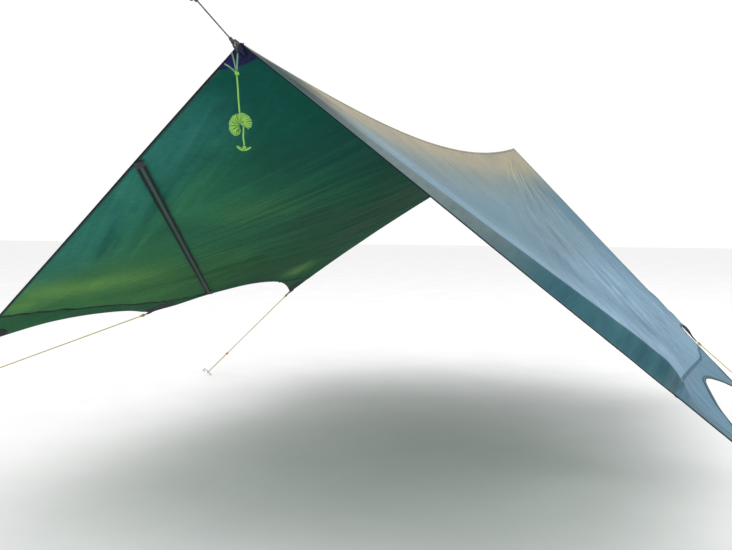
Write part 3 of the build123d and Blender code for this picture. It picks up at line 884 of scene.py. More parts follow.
    def drawn(self, s: Array, y: Array, height: Array) -> Array:
        """Points drawn in the panel's plane and laid on the folded cloth."""
        u, v = self.solve(s, y)
        return self.surface(u, v, height)

    def seam_s(self, y: Array) -> Array:
        """How far down the slope the cross seam lies at each place along the ridge."""
        places = [self.flat(self.tips[place])[1] for place in Place]
        return np.interp(y, places, self.cut.seam_widths(self.side))

    def seam_u(self, v: Array) -> Array:
        """The u of the cross seam at each v."""
        v = np.asarray(v, float)
        u = np.full_like(v, 0.9)
        for _ in range(10):
            place = self.flat(self.base(u, v))
            u = u + (self.seam_s(place[..., 1]) - place[..., 0]) / self.cut.panel_width
        return u


def pull_fans(panel: "Panel", s: Array, y: Array) -> Tuple[Array, Array]:
    """Two fans of pulls in the cloth: angle, distance, and how strongly each shows.

    Args:
        panel: the panel.
        s: distance down the slope.
        y: distance along the ridge.

    Returns:
        The two fans, each with three numbers a place.
    """
    inset = panel.edge_inset(s, y)
    if panel.side is Side.LEFT:
        tie = np.array([1.54, 0.36])
        centres = (np.array([3.60, 2.30]), tie)
        near = smooth(0.0, 0.05, inset) * (1 - smooth(0.30, 0.52, inset)) * (1 - smooth(0.85, 1.15, s))
        wide = smooth(0.28, 0.60, inset) * smooth(0.35, 0.8, np.hypot(s - tie[0], y - tie[1]))
        wide *= (0.55 + 0.45 * smooth(0.6, 1.5, y)) * (1 - smooth(1.15, 1.40, s))
        shares = (near * smooth(0.06, 0.20, s), wide)
    else:
        length = CUT.ridge_length
        beyond = 0.12
        centres = (np.array([-beyond, length + beyond]), np.array([2.6, 0.6]))
        angle = np.arctan2(s + beyond, length + beyond - y)
        fan = smooth(0.16, 0.42, angle) * smooth(0.15, 0.5, np.hypot(s, y - length))
        fan *= 1 - smooth(1.22, 1.38, s)
        shares = (fan, 0.35 * smooth(0.08, 0.3, inset) * (1 - fan))
    fans = []
    for centre, share in zip(centres, shares):
        away = np.hypot(s - centre[0], y - centre[1])
        angle = np.arctan2(y - centre[1], s - centre[0])
        fans.append(np.stack([angle, away, share], axis=-1))
    return fans[0], fans[1]


PANELS = {side: Panel(side) for side in Side}


# ---------------------------------------------------------------- sewn cloth


def blend_dyes(base: Array, dye: Colour, share: Array) -> Array:
    """Colours moved towards another colour by a share at each place."""
    return base * (1 - share[..., None]) + np.array(dye) * share[..., None]


@dataclass(frozen=True)
class Dyes:
    """The cloth's colours over each face of the panels, with soft light, shade and glow painted in.

    The dark apex beneath, the paler green down the slope, the glow spots, the crest, the valley, the far tints,
    the near strip and the shade at the outside's apex stand for light on the cloth and not for its own colour,
    as do the warm reflection by the ridge and the sky reflection down the outside; they stay as they are when
    the lights or the view change.
    """

    gain_outside: float = 0.60
    gain_beneath: float = 1.20
    # Underside: painted shade in dark teal at the apex, turning to a paler green through mid and low down the
    # slope as painted light over the cloth's own green; glow is painted light shining through the cloth, and
    # far and far_low are painted shade towards the far end.
    apex: Colour = shade(18, 80, 70)
    mid: Colour = shade(46, 106, 78)
    low: Colour = shade(62, 114, 70)
    glow: Colour = shade(98, 142, 78)
    edge_teal: Colour = shade(44, 108, 100)
    far: Colour = shade(24, 68, 50)
    far_low: Colour = shade(36, 84, 58)
    # Outside: a painted warm reflection by the ridge, through grey into a painted sky reflection in blue down
    # the slope; far_blue is that blue in painted shade, towards the far end and in the valley.
    ridge_beige: Colour = shade(190, 181, 156)
    grey: Colour = shade(142, 162, 164)
    upper_blue: Colour = shade(126, 160, 176)
    lower_blue: Colour = shade(143, 179, 205)
    far_blue: Colour = shade(104, 146, 168)
    # The near strip, in painted shade.
    strip_teal: Colour = shade(66, 112, 124)
    strip_grey: Colour = shade(128, 146, 148)
    # Painted shade at the outside's apex.
    smoke: Colour = shade(62, 84, 84)
    # Glow spots of painted light: place down the slope, place along the ridge, width, length and share.
    glow_spots: Tuple[Tuple[float, float, float, float, float], ...] = (
        (1.20, 0.62, 0.07, 0.20, 0.85),
        (1.30, 0.52, 0.05, 0.10, 0.70),
        (1.14, 0.95, 0.08, 0.22, 0.55),
        (1.30, 2.70, 0.08, 0.16, 0.55),
        (0.62, 1.05, 0.10, 0.22, 0.22))

    def beneath(self, panel: Panel, s: Array, y: Array) -> Array:
        """The underside: shade painted in at the apex and the far end, painted light that turns the green paler
        down the slope, and glow spots low down.
        """
        base = np.broadcast_to(np.array(self.apex), (*s.shape, 3))
        # The green turns paler down the slope: painted light over the cloth's own green.
        base = blend_dyes(base, self.mid, smooth(0.10, 0.75, s))
        base = blend_dyes(base, self.low, smooth(0.75, 1.25, s))
        inset = panel.edge_inset(s, y)
        base = blend_dyes(base, self.edge_teal, 0.8 * (1 - smooth(0.05, 0.40, inset)) * smooth(0.1, 0.3, s)
                          * (1 - smooth(0.9, 1.3, s)))
        # Painted shade towards the far end, a little lighter low down.
        base = blend_dyes(base, self.far, 0.95 * smooth(0.9, 2.9, y))
        base = blend_dyes(base, self.far_low, 0.6 * smooth(1.6, 2.4, y) * smooth(0.7, 1.2, s))
        # Glow spots of painted light.
        for spot_s, spot_y, wide, long, share in self.glow_spots:
            away = ((s - spot_s) / wide) ** 2 + ((y - spot_y) / long) ** 2
            base = blend_dyes(base, self.glow, share * np.exp(-away))
        hem = smooth(-0.10, 0.0, s - panel.hem_s(y)) * (1 - smooth(-0.02, 0.0, s - panel.seam_s(y)))
        base = blend_dyes(base, self.far, 0.45 * hem)
        beyond = smooth(-0.004, 0.004, s - panel.seam_s(y))
        base = blend_dyes(base, self.far_low, 0.8 * beyond)
        return base * self.gain_beneath

    def outside(self, panel: Panel, s: Array, y: Array) -> Array:
        """The weather face: beige by the ridge as a painted warm reflection, blue down the slope as a painted
        sky reflection, with painted shade towards the far end and a painted crest, valley, near strip and apex
        shade.
        """
        # A painted warm reflection by the ridge, through grey into a painted sky reflection down the slope.
        base = np.broadcast_to(np.array(self.ridge_beige), (*s.shape, 3))
        base = blend_dyes(base, self.grey, smooth(0.08, 0.32, s))
        base = blend_dyes(base, self.upper_blue, smooth(0.28, 0.50, s))
        base = blend_dyes(base, self.lower_blue, smooth(0.55, 1.0, s))
        # Darker blue towards the far end: painted shade.
        length = CUT.ridge_length
        far_tip = panel.flat(panel.tips[Place.FAR])
        off_far = length - y - s * (length - far_tip[1]) / far_tip[0]
        base = blend_dyes(base, self.far_blue, 0.75 * (1 - smooth(0.0, 0.95, off_far)) * smooth(0.15, 0.5, s))
        if panel.side is Side.LEFT:
            return base * self.gain_outside
        inset = panel.edge_inset(s, y)
        # Painted shade along the valley and a painted highlight along the crest.
        valley = np.exp(-(((inset - 0.62) / 0.20) ** 2)) * smooth(0.3, 0.7, s)
        base = blend_dyes(base, self.far_blue, 0.5 * valley)
        crest = np.exp(-(((inset - 0.16) / 0.09) ** 2)) * smooth(0.1, 0.4, s)
        base = blend_dyes(base, tuple(np.array(self.lower_blue) * 1.12), 0.6 * crest)
        # The near strip in painted shade, grey turning teal partway down the slope.
        strip = 1 - smooth(0.056, 0.068, inset)
        colour = blend_dyes(np.broadcast_to(np.array(self.strip_grey), base.shape), self.strip_teal,
                            smooth(0.55, 0.85, s) * (1 - smooth(1.18, 1.30, s)))
        base = base * (1 - strip[..., None]) + colour * strip[..., None]
        # Painted shade at the apex.
        apex = 1 - smooth(0.10, 0.42, np.hypot(s, y))
        base = blend_dyes(base, self.smoke, np.clip(apex, 0, 0.9))
        beyond = smooth(-0.004, 0.004, s - panel.seam_s(y))
        base = blend_dyes(base, self.far_blue, 0.75 * beyond)
        return base * self.gain_outside


DYES_AND_LIGHT = Dyes()


def cloth_marks(panel: Panel, u: Array, v: Array, outside: bool) -> Dict[str, Array]:
    """Every mark that the cloth's finish reads, one row a vertex."""
    place = panel.flat(panel.base(u, v))
    s, y = place[:, 0], place[:, 1]
    first, second = pull_fans(panel, s, y)
    # The cloth's colour at each vertex, with its painted light, shade and glow.
    dye = DYES_AND_LIGHT.outside(panel, s, y) if outside else DYES_AND_LIGHT.beneath(panel, s, y)
    return {"cloth": np.stack([s, y, panel.edge_inset(s, y)], axis=-1), "dye": dye,
            "pull_first": first, "pull_second": second}


def shell_piece(name: str, panel: Panel, u: Array, v: Array, heights: Tuple[float, float],
                finishes: Tuple[object, object]) -> bpy.types.Object:
    """A thin closed shell over a grid of places on a panel, finished on each face.

    Args:
        name: the piece's name.
        panel: the panel it lies on.
        u: a grid of u values.
        v: a grid of v values.
        heights: how high its underside and its outside lie.
        finishes: the finish of its outside and of its underside.

    Returns:
        The new object.
    """
    rows, columns = u.shape
    count = rows * columns
    flat_u, flat_v = u.ravel(), v.ravel()
    top = panel.surface(flat_u, flat_v, heights[1])
    low = panel.surface(flat_u, flat_v, heights[0])
    outside = cloth_marks(panel, flat_u, flat_v, True)
    inside = cloth_marks(panel, flat_u, flat_v, False)
    marks = {key: np.concatenate([outside[key], inside[key]]) for key in outside}
    faces = grid_faces(rows, columns)
    turned = [[count + index for index in face[::-1]] for face in faces]
    if panel.side is Side.LEFT:
        faces, turned = [face[::-1] for face in faces], [face[::-1] for face in turned]
    ring = list(range(columns)) + [row * columns + columns - 1 for row in range(1, rows)]
    ring += [(rows - 1) * columns + column for column in range(columns - 2, -1, -1)]
    ring += [row * columns for row in range(rows - 2, 0, -1)]
    rim = []
    for here, after in zip(ring, ring[1:] + ring[:1]):
        face = [after, here, count + here, count + after]
        rim.append(face[::-1] if panel.side is Side.LEFT else face)
    piece = make_piece(name, np.concatenate([top, low]), faces + turned + rim, finishes[0], ROOT, marks)
    piece.data.materials.append(PAINT.get(finishes[1]))
    kinds = [0] * len(faces) + [1] * (len(turned) + len(rim))
    if len(piece.data.polygons) == len(kinds):
        piece.data.polygons.foreach_set("material_index", kinds)
    return piece


@dataclass
class Canopy:
    """One side's sewn cloth: the main canopy, the hem panels beyond the cross seam, and the seam itself."""

    panel: Panel
    rows: int = 104
    columns: int = 300
    lap: float = 0.007
    lap_drop: float = 0.0009
    seam_width: float = 0.011
    seam_rise: float = 0.0010

    def __post_init__(self) -> None:
        """Note the side's finishes and an empty list of pieces."""
        left = self.panel.side is Side.LEFT
        self.finishes = (OUTSIDE if left else OUTSIDE_RIGHT, INSIDE)
        self.pieces: List[bpy.types.Object] = []

    def stations(self) -> Array:
        """Places along the ridge for the columns, closer by the near edge, with the mid tie-out too."""
        near = np.linspace(0, 0.03, 14)
        return np.unique(np.concatenate([near, np.linspace(0.03, 1, self.columns), [self.panel.mid_share]]))

    def build(self) -> List[bpy.types.Object]:
        side = self.panel.side.label
        v = self.stations()
        limit = np.minimum(self.panel.seam_u(v) + self.lap / CUT.panel_width, self.panel.hem_u(v))
        share = np.linspace(0, 1, self.rows)[:, None]
        grid_v = np.broadcast_to(v, (self.rows, len(v)))
        canopy = shell_piece("canopy_sheet_" + side, self.panel, share * limit, grid_v,
                             (-CUT.half_cloth, CUT.half_cloth), self.finishes)
        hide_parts("canopy_" + side)
        self.area(share * limit, grid_v)
        self.hems(v)
        self.pieces.append(canopy)
        return self.pieces

    def area(self, u: Array, v: Array) -> float:
        """The cut area of a grid of cloth, in square metres."""
        points = self.panel.base(u, v)
        first = points[1:, 1:] - points[:-1, :-1]
        second = points[1:, :-1] - points[:-1, 1:]
        return float(np.linalg.norm(np.cross(first, second), axis=-1).sum() / 2)

    def flat_size(self, u: Array, v: Array) -> Tuple[float, float]:
        """The length and width of the smallest straight piece of cloth that the cut fits on."""
        places = self.panel.flat(self.panel.base(u, v)).reshape(-1, 2)
        best = (np.inf, 0.0)
        for angle in np.radians(np.arange(0, 180, 2)):
            across = places @ np.array([math.cos(angle), math.sin(angle)])
            along = places @ np.array([-math.sin(angle), math.cos(angle)])
            size = (float(np.ptp(along)), float(np.ptp(across)))
            if size[0] * size[1] < best[0] * best[1] or not math.isfinite(best[0]):
                best = size
        return max(best) * 1.01, min(best) * 1.01

    def hems(self, v: Array) -> List[bpy.types.Object]:
        """The hem panels, one for each stretch of the hem that lies beyond the cross seam."""
        side = self.panel.side.label
        seam, hem = self.panel.seam_u(v), self.panel.hem_u(v)
        beyond = np.flatnonzero(hem > seam)
        runs = np.split(beyond, np.flatnonzero(np.diff(beyond) > 1) + 1)
        pieces = []
        for index, run in enumerate(runs):
            if len(run) < 4:
                continue
            start = seam[run] - self.lap / CUT.panel_width
            rows = 14
            share = np.linspace(0, 1, rows)[:, None]
            u = start + share * (hem[run] - start)
            grid_v = np.broadcast_to(v[run], u.shape)
            low = -CUT.half_cloth - self.lap_drop
            piece = shell_piece(f"hem_sheet_{side}_{index + 1}", self.panel, u, grid_v,
                                (low, low + 2 * CUT.half_cloth), self.finishes)
            if index == 0:
                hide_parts("hem_panel_" + side)
            self.flat_size(u, grid_v)
            self.area(u, grid_v)
            pieces.append(piece)
            self.cross_seam(f"cross_seam_{side}_{index + 1}", v[run], seam[run])
        return pieces

    def cross_seam(self, name: str, v: Array, seam: Array) -> None:
        """The felled seam over the lap, as a low rib with two sunk stitch lines.

        Args:
            name: the piece's name.
            v: where it runs along the ridge.
            seam: the seam's u there.
        """
        half = self.seam_width / 2 / CUT.panel_width
        offsets = np.array([-1, -0.8, -0.5, 0, 0.5, 0.8, 1.0]) * half
        rise = np.array([0.2, 0.9, 0.75, 1.0, 0.75, 0.9, 0.2]) * self.seam_rise
        top = CUT.half_cloth + rise
        low = -CUT.half_cloth - self.lap_drop - CUT.half_cloth - rise
        profile_u = np.concatenate([offsets, offsets[::-1]])
        heights = np.concatenate([top, low[::-1]])
        rings, marks = [], []
        run = v * CUT.ridge_length
        for place, middle, along in zip(v, seam, run):
            ring_u = middle + profile_u
            rings.append(self.panel.base(ring_u, np.full_like(ring_u, place)))
            normal = self.panel.normal(ring_u, np.full_like(ring_u, place))
            lift = self.panel.folds(ring_u, np.full_like(ring_u, place)) + heights
            rings[-1] = rings[-1] + normal * lift[:, None]
            marks.append(np.stack([np.full(14, along), profile_u / half / 2, np.zeros(14)], axis=-1))
        faces = grid_faces(len(v), 14, wrap=True)
        faces.append(list(range(14)))
        faces.append([(len(v) - 1) * 14 + k for k in range(14)][::-1])
        finish = SEAM_INSIDE if self.panel.side is Side.LEFT else SEAM_OUTSIDE
        self.pieces.append(make_piece(name, np.concatenate(rings), faces, finish, ROOT,
                                      {"tape": np.concatenate(marks)}))


@dataclass
class EdgeBindings:
    """The folded tapes round one panel's edges, with their stitching."""

    panel: Panel
    width: float = 0.012
    lip: float = 0.001
    wall: float = 0.0009
    step: float = 0.011
    stitch_pitch: float = 0.0055
    stitch_length: float = 0.0034
    stitch_inset: float = 0.0092

    def lines(self) -> Dict[str, List[Array]]:
        """Each binding's edge lines in the panel's plane, walked with the cloth on the same hand."""
        flat, tips = self.panel.flat, self.panel.tips
        near, mid, far = (flat(tips[place]) for place in Place)
        apex, end = (flat(self.panel.ridge(np.array(v))) for v in (0.0, 1.0))
        lines = {"near_binding_": [self.straight(apex, near)], "far_binding_": [self.straight(far, end)]}
        lines["hem_binding_"] = [self.bay(near, mid), self.bay(mid, far)]
        return lines

    def straight(self, start: Array, end: Array) -> Array:
        """Even points along a straight edge."""
        count = int(np.linalg.norm(end - start) / self.step)
        return start + (end - start) * np.linspace(0, 1, count)[:, None]

    def bay(self, start: Array, end: Array) -> Array:
        """Even points along a cat-cut bay."""
        y = np.linspace(start[1], end[1], int(abs(end[1] - start[1]) / self.step))
        s = self.panel.hem_s(y)
        s[0], s[-1] = start[0], end[0]
        return np.stack([s, y], axis=-1)

    def inward(self, line: Array) -> Array:
        """The direction into the cloth at each point of an edge line."""
        run = np.gradient(line, axis=0)
        run /= np.linalg.norm(run, axis=1)[:, None]
        side = np.stack([-run[:, 1], run[:, 0]], axis=-1)
        middle = np.array([0.7, 1.8])
        facing = np.sign(((middle - line) * side).sum(axis=1).mean())
        return side * facing

    def profile(self) -> Array:
        """The tape's folded cross-section, as (inset, height) pairs round a closed ring."""
        face = CUT.half_cloth + 0.00008
        out = face + self.wall
        ring = [(self.width, out * 0.94), (self.width * 0.75, out * 0.86), (self.width * 0.4, out * 1.06),
                (0, out),
                (-self.lip * 0.8, out * 0.6), (-self.lip, 0), (-self.lip * 0.8, -out * 0.6), (0, -out),
                (self.width * 0.4, -out * 1.06), (self.width * 0.75, -out * 0.86), (self.width, -out * 0.94),
                (self.width, -face), (0.0002, -face), (0.0002, face), (self.width, face)]
        return np.array(ring)

    def sweep(self, line: Array) -> Tuple[Array, List[List[int]], Array]:
        """One stretch of binding along an edge line."""
        profile, inward = self.profile(), self.inward(line)
        count, around = len(line), len(profile)
        places = line[:, None, :] + inward[:, None, :] * profile[None, :, 0, None]
        heights = np.broadcast_to(profile[:, 1], (count, around))
        points = self.panel.drawn(places[..., 0].ravel(), places[..., 1].ravel(), heights.ravel())
        run = np.concatenate([[0], np.cumsum(np.linalg.norm(np.diff(line, axis=0), axis=1))])
        across = np.broadcast_to(profile[:, 0] / self.width - 0.5, (count, around))
        face = np.broadcast_to(np.sign(profile[:, 1]), (count, around))
        marks = np.stack([np.repeat(run, around), across.ravel(), face.ravel()], axis=-1)
        faces = grid_faces(count, around, wrap=True)
        faces.append(list(range(around))[::-1])
        faces.append([(count - 1) * around + k for k in range(around)])
        return points, faces, marks

    def stitches(self, line: Array) -> Tuple[Array, List[List[int]], Array]:
        """The stitches along an edge line, on both faces of the tape."""
        run = np.concatenate([[0], np.cumsum(np.linalg.norm(np.diff(line, axis=0), axis=1))])
        inward = self.inward(line)
        starts = np.arange(self.width, run[-1] - self.width, self.stitch_pitch)
        spots = [starts, starts + self.stitch_length]
        row = line + inward * self.stitch_inset
        ends = [np.stack([np.interp(spot, run, row[:, axis]) for axis in (0, 1)],
                         axis=-1) for spot in spots]
        sides = np.stack([np.interp(starts, run, inward[:, axis]) for axis in (0, 1)], axis=-1) * 0.0003
        face = CUT.half_cloth + self.wall
        points, faces = [], []
        for sign in (1, -1):
            base, top = sign * face * 0.8, sign * (face * 0.9 + 0.00035)
            for end in ends:
                for offset, height in ((-1, base), (1, base), (1, top), (-1, top)):
                    spot = end + sides * offset
                    points.append(self.panel.drawn(spot[:, 0], spot[:, 1], np.full(len(spot), height)))
        block = np.stack(points, axis=1)
        count = len(starts)
        box = [[0, 1, 2, 3], [7, 6, 5, 4], [0, 4, 5, 1], [1, 5, 6, 2], [2, 6, 7, 3], [3, 7, 4, 0]]
        for index in range(count):
            for half in (0, 8):
                faces.extend([[index * 16 + half + corner for corner in face_] for face_ in box])
        marks = np.zeros((count * 16, 3))
        marks[:, 0] = np.tile(np.repeat([0, self.stitch_length], 4), count * 2)
        return block.reshape(-1, 3), faces, marks

    def build(self) -> List[bpy.types.Object]:
        """Make the three bindings and their stitching."""
        pieces, sewn = [], []
        side = self.panel.side.label
        for name, lines in self.lines().items():
            points, faces, marks = merge_parts([self.sweep(line) for line in lines])
            piece = make_piece(name + "tape_" + side, points, faces, BINDING, ROOT,
                               {"tape": marks})
            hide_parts(name + side)
            pieces.append(piece)
            sewn.extend(self.stitches(line) for line in lines)
        points, faces, marks = merge_parts(sewn)
        pieces.append(make_piece("binding_stitches_" + side, points, faces, THREAD, ROOT,
                                 {"tape": marks}, flat_faces=True))
        return pieces


@dataclass
class Patches:
    """The sewn reinforcing patches on one panel's underside."""

    panel: Panel
    corner_radius: float = 0.120
    ridge_radius: float = 0.095
    thickness: float = 0.0009
    inset: float = 0.010
    rings: int = 16
    spokes: int = 22

    def edge_at(self, tip: Array, line: Array, radius: float) -> Array:
        """The point of an edge line at a distance from a tip."""
        away = np.linalg.norm(line - tip, axis=1)
        if away[0] > away[-1]:
            line, away = line[::-1], away[::-1]
        last = int(np.argmax(away > 2 * self.corner_radius)) or len(line)
        return np.array([np.interp(radius, away[:last], line[:last, axis]) for axis in (0, 1)])

    def wedge(self, tip: Array, first: Array, second: Array, radius: float) -> Tuple[Array, Array]:
        """Places of a patch between two edges that meet at a tip.

        Args:
            tip: the tip in the panel's plane.
            first: one edge line.
            second: the other edge line.
            radius: the patch's radius.

        Returns:
            The s and the y grids.
        """
        grid = []
        for distance in np.linspace(self.inset, radius, self.rings):
            start = self.edge_at(tip, first, distance)
            end = self.edge_at(tip, second, distance)
            angles = [math.atan2(*(point - tip)[::-1]) for point in (start, end)]
            turn = (angles[1] - angles[0] + math.pi) % (2 * math.pi) - math.pi
            spread = angles[0] + turn * np.linspace(0.03, 0.97, self.spokes)
            grid.append(tip + distance * np.stack([np.cos(spread), np.sin(spread)], axis=-1))
        block = np.array(grid)
        return block[..., 0], block[..., 1]

    def patch(self, name: str, node: Optional[str], s: Array, y: Array, finish: WovenTape
              ) -> bpy.types.Object:
        """One patch as a thin closed pad below the cloth."""
        rows, columns = s.shape
        count = rows * columns
        high = -CUT.half_cloth - 0.00115
        rim = np.ones((rows, columns)) * self.thickness
        rim[-1], rim[:, 0], rim[:, -1] = 0.0003, 0.0003, 0.0003
        seam = np.zeros((rows, columns))
        seam[-3, 2:-2] = 0.0005
        u, v = self.panel.solve(s.ravel(), y.ravel())
        top = self.panel.surface(u, v, high)
        normal = self.panel.normal(u, v)
        low = top - normal * (rim - seam).ravel()[:, None]
        faces = grid_faces(rows, columns)
        turned = [[count + index for index in face[::-1]] for face in faces]
        ring = list(range(columns)) + [row * columns + columns - 1 for row in range(1, rows)]
        ring += [(rows - 1) * columns + column for column in range(columns - 2, -1, -1)]
        ring += [row * columns for row in range(rows - 2, 0, -1)]
        edge = [[after, here, count + here, count + after] for here, after in zip(ring, ring[1:] + ring[:1])]
        place = np.stack([s.ravel(), y.ravel() * 0.5, np.zeros(count)], axis=-1)
        piece = make_piece(name, np.concatenate([top, low]), faces + turned + edge, finish, ROOT,
                           {"tape": np.concatenate([place, place])})
        if node:
            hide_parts(node)
        return piece

    def build(self) -> List[bpy.types.Object]:
        """Make every patch of the panel."""
        side = self.panel.side.label
        lines = EdgeBindings(self.panel).lines()
        near, far = lines["near_binding_"][0], lines["far_binding_"][0]
        bays = lines["hem_binding_"]
        edges = {Place.NEAR: (near, bays[0]), Place.MID: (bays[0], bays[1]), Place.FAR: (bays[1], far)}
        pieces = []
        for place, (first, second) in edges.items():
            tip = self.panel.flat(self.panel.tips[place])
            s, y = self.wedge(tip, first, second, self.corner_radius)
            name = f"patch_{place.value}_{side}"
            pieces.append(self.patch("corner_" + name, name, s, y, CORNER_PATCH))
        ridge = np.stack([np.full(200, 0.0004), np.linspace(0, CUT.ridge_length, 200)], axis=-1)
        for end, edge, v in (("near", near, 0.0), ("far", far, 1.0)):
            tip = self.panel.flat(self.panel.ridge(np.array(v)))
            s, y = self.wedge(tip, ridge if end == "near" else ridge[::-1], edge, self.ridge_radius)
            node = "ridge_patch_" + end if self.panel.side is Side.LEFT else None
            name = f"ridge_patch_sheet_{end}_{side}"
            pieces.append(self.patch(name, node, np.maximum(s, 0.0008), y, RIDGE_PATCH))
        return pieces


@dataclass
class RidgeSeam:
    """The taped seam along the ridge."""

    half_width: float = 0.014
    thickness: float = 0.0009
    steps: int = 320

    def build(self) -> bpy.types.Object:
        """Make the tape that covers the seam, with the felled seam's rib along its middle."""
        shares = np.array([1.0, 0.85, 0.5, 0.2, 0.0])
        rise = np.array([0.3, 1.0, 0.9, 1.5, 2.0]) * self.thickness
        face = CUT.half_cloth + 0.0001
        rings, marks = [], []
        for v in np.linspace(0.004, 0.996, self.steps):
            upper, lower = [], []
            for side, order in ((Side.LEFT, slice(None)), (Side.RIGHT, slice(None, None, -1))):
                panel = PANELS[side]
                u = (shares * self.half_width / CUT.panel_width)[order]
                height = rise[order]
                if side is Side.RIGHT:
                    u, height = u[1:], height[1:]
                place = np.full_like(u, v)
                upper.append(panel.surface(u, place, 0.0) + panel.normal(u, place) * (face + height)[:, None])
                lower.append(panel.surface(u, place, face * 0.5))
            ring = np.concatenate(upper + [np.concatenate(lower)[::-1]])
            rings.append(ring)
            across = np.linspace(-0.5, 0.5, 9)
            both = np.concatenate([across, across[::-1]])
            marks.append(np.stack([np.full(18, v * CUT.ridge_length), both, np.zeros(18)], axis=-1))
        faces = grid_faces(self.steps, 18, wrap=True)
        faces.append(list(range(18)))
        faces.append([(self.steps - 1) * 18 + k for k in range(18)][::-1])
        piece = make_piece("ridge_seam_tape", np.concatenate(rings), faces, RIDGE_TAPE, ROOT,
                           {"tape": np.concatenate(marks)})
        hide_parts("ridge_tape")
        return piece


@dataclass
class StormStrap:
    """The webbing strap sewn across the left panel's underside."""

    width: float = 0.025
    thickness: float = 0.0014
    top_place: float = 0.450
    hem_width: float = 1.422
    hem_place: float = 1.863
    start_inset: float = 0.036
    end_inset: float = 0.022
    drop: float = 0.0022

    def build(self) -> bpy.types.Object:
        """Make the strap as a ribbed web with rolled selvedges."""
        panel = PANELS[Side.LEFT]
        start = panel.flat(panel.base(np.array(self.top_place / CUT.panel_width), np.array(0.0)))
        end = np.array([self.hem_width, self.hem_place])
        run = (end - start) / np.linalg.norm(end - start)
        side = np.array([-run[1], run[0]])
        length = np.linalg.norm(end - start) - self.start_inset - self.end_inset
        along = np.linspace(0, length, 160)
        offsets = np.array([-0.5, -0.47, -0.40, -0.2, 0, 0.2, 0.40, 0.47, 0.5]) * self.width
        swell = np.array([0.5, 1.1, 0.9, 0.75, 0.75, 0.75, 0.9, 1.1, 0.5]) * self.thickness / 2
        ring_s = np.concatenate([offsets, offsets[::-1]])
        ring_h = np.concatenate([swell, -swell[::-1]])
        centre = start + run * (self.start_inset + along)[:, None]
        places = centre[:, None, :] + side * ring_s[None, :, None]
        u, v = panel.solve(places[..., 0].ravel(), places[..., 1].ravel())
        mid_u, mid_v = panel.solve(centre[:, 0], centre[:, 1])
        lift = np.repeat(panel.folds(mid_u, mid_v) * 0.3 - 0.004, 18)
        base = panel.base(u, v) + panel.normal(u, v) * (lift - self.drop + np.tile(ring_h, 160))[:, None]
        across = np.tile(ring_s / self.width, 160)
        marks = np.stack([np.repeat(along, 18), across, np.zeros(160 * 18)], axis=-1)
        faces = grid_faces(160, 18, wrap=True)
        faces.append(list(range(18)))
        faces.append([159 * 18 + k for k in range(18)][::-1])
        piece = make_piece("storm_strap_web", base, faces, STRAP_WEB, ROOT, {"tape": marks})
        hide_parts("storm_strap")
        return piece


# ---------------------------------------------------------------- tie-outs


@dataclass(frozen=True)
class TieFrame:
    """A tie-out's axes: origin at the eye's bar, x along the pull, z square to the webbing."""

    origin: Array
    x: Array
    z: Array

    @property
    def y(self) -> Array:
        """The bar's own direction."""
        return np.cross(self.z, self.x)

    def place(self, points: Sequence[Sequence[float]]) -> Array:
        """Local points in the tarp's axes."""
        local = np.asarray(points, float)
        return self.origin + local[..., :1] * self.x + local[..., 1:2] * self.y + local[..., 2:3] * self.z


def unit(vector: Array) -> Array:
    """A vector at length one."""
    return vector / np.linalg.norm(vector)


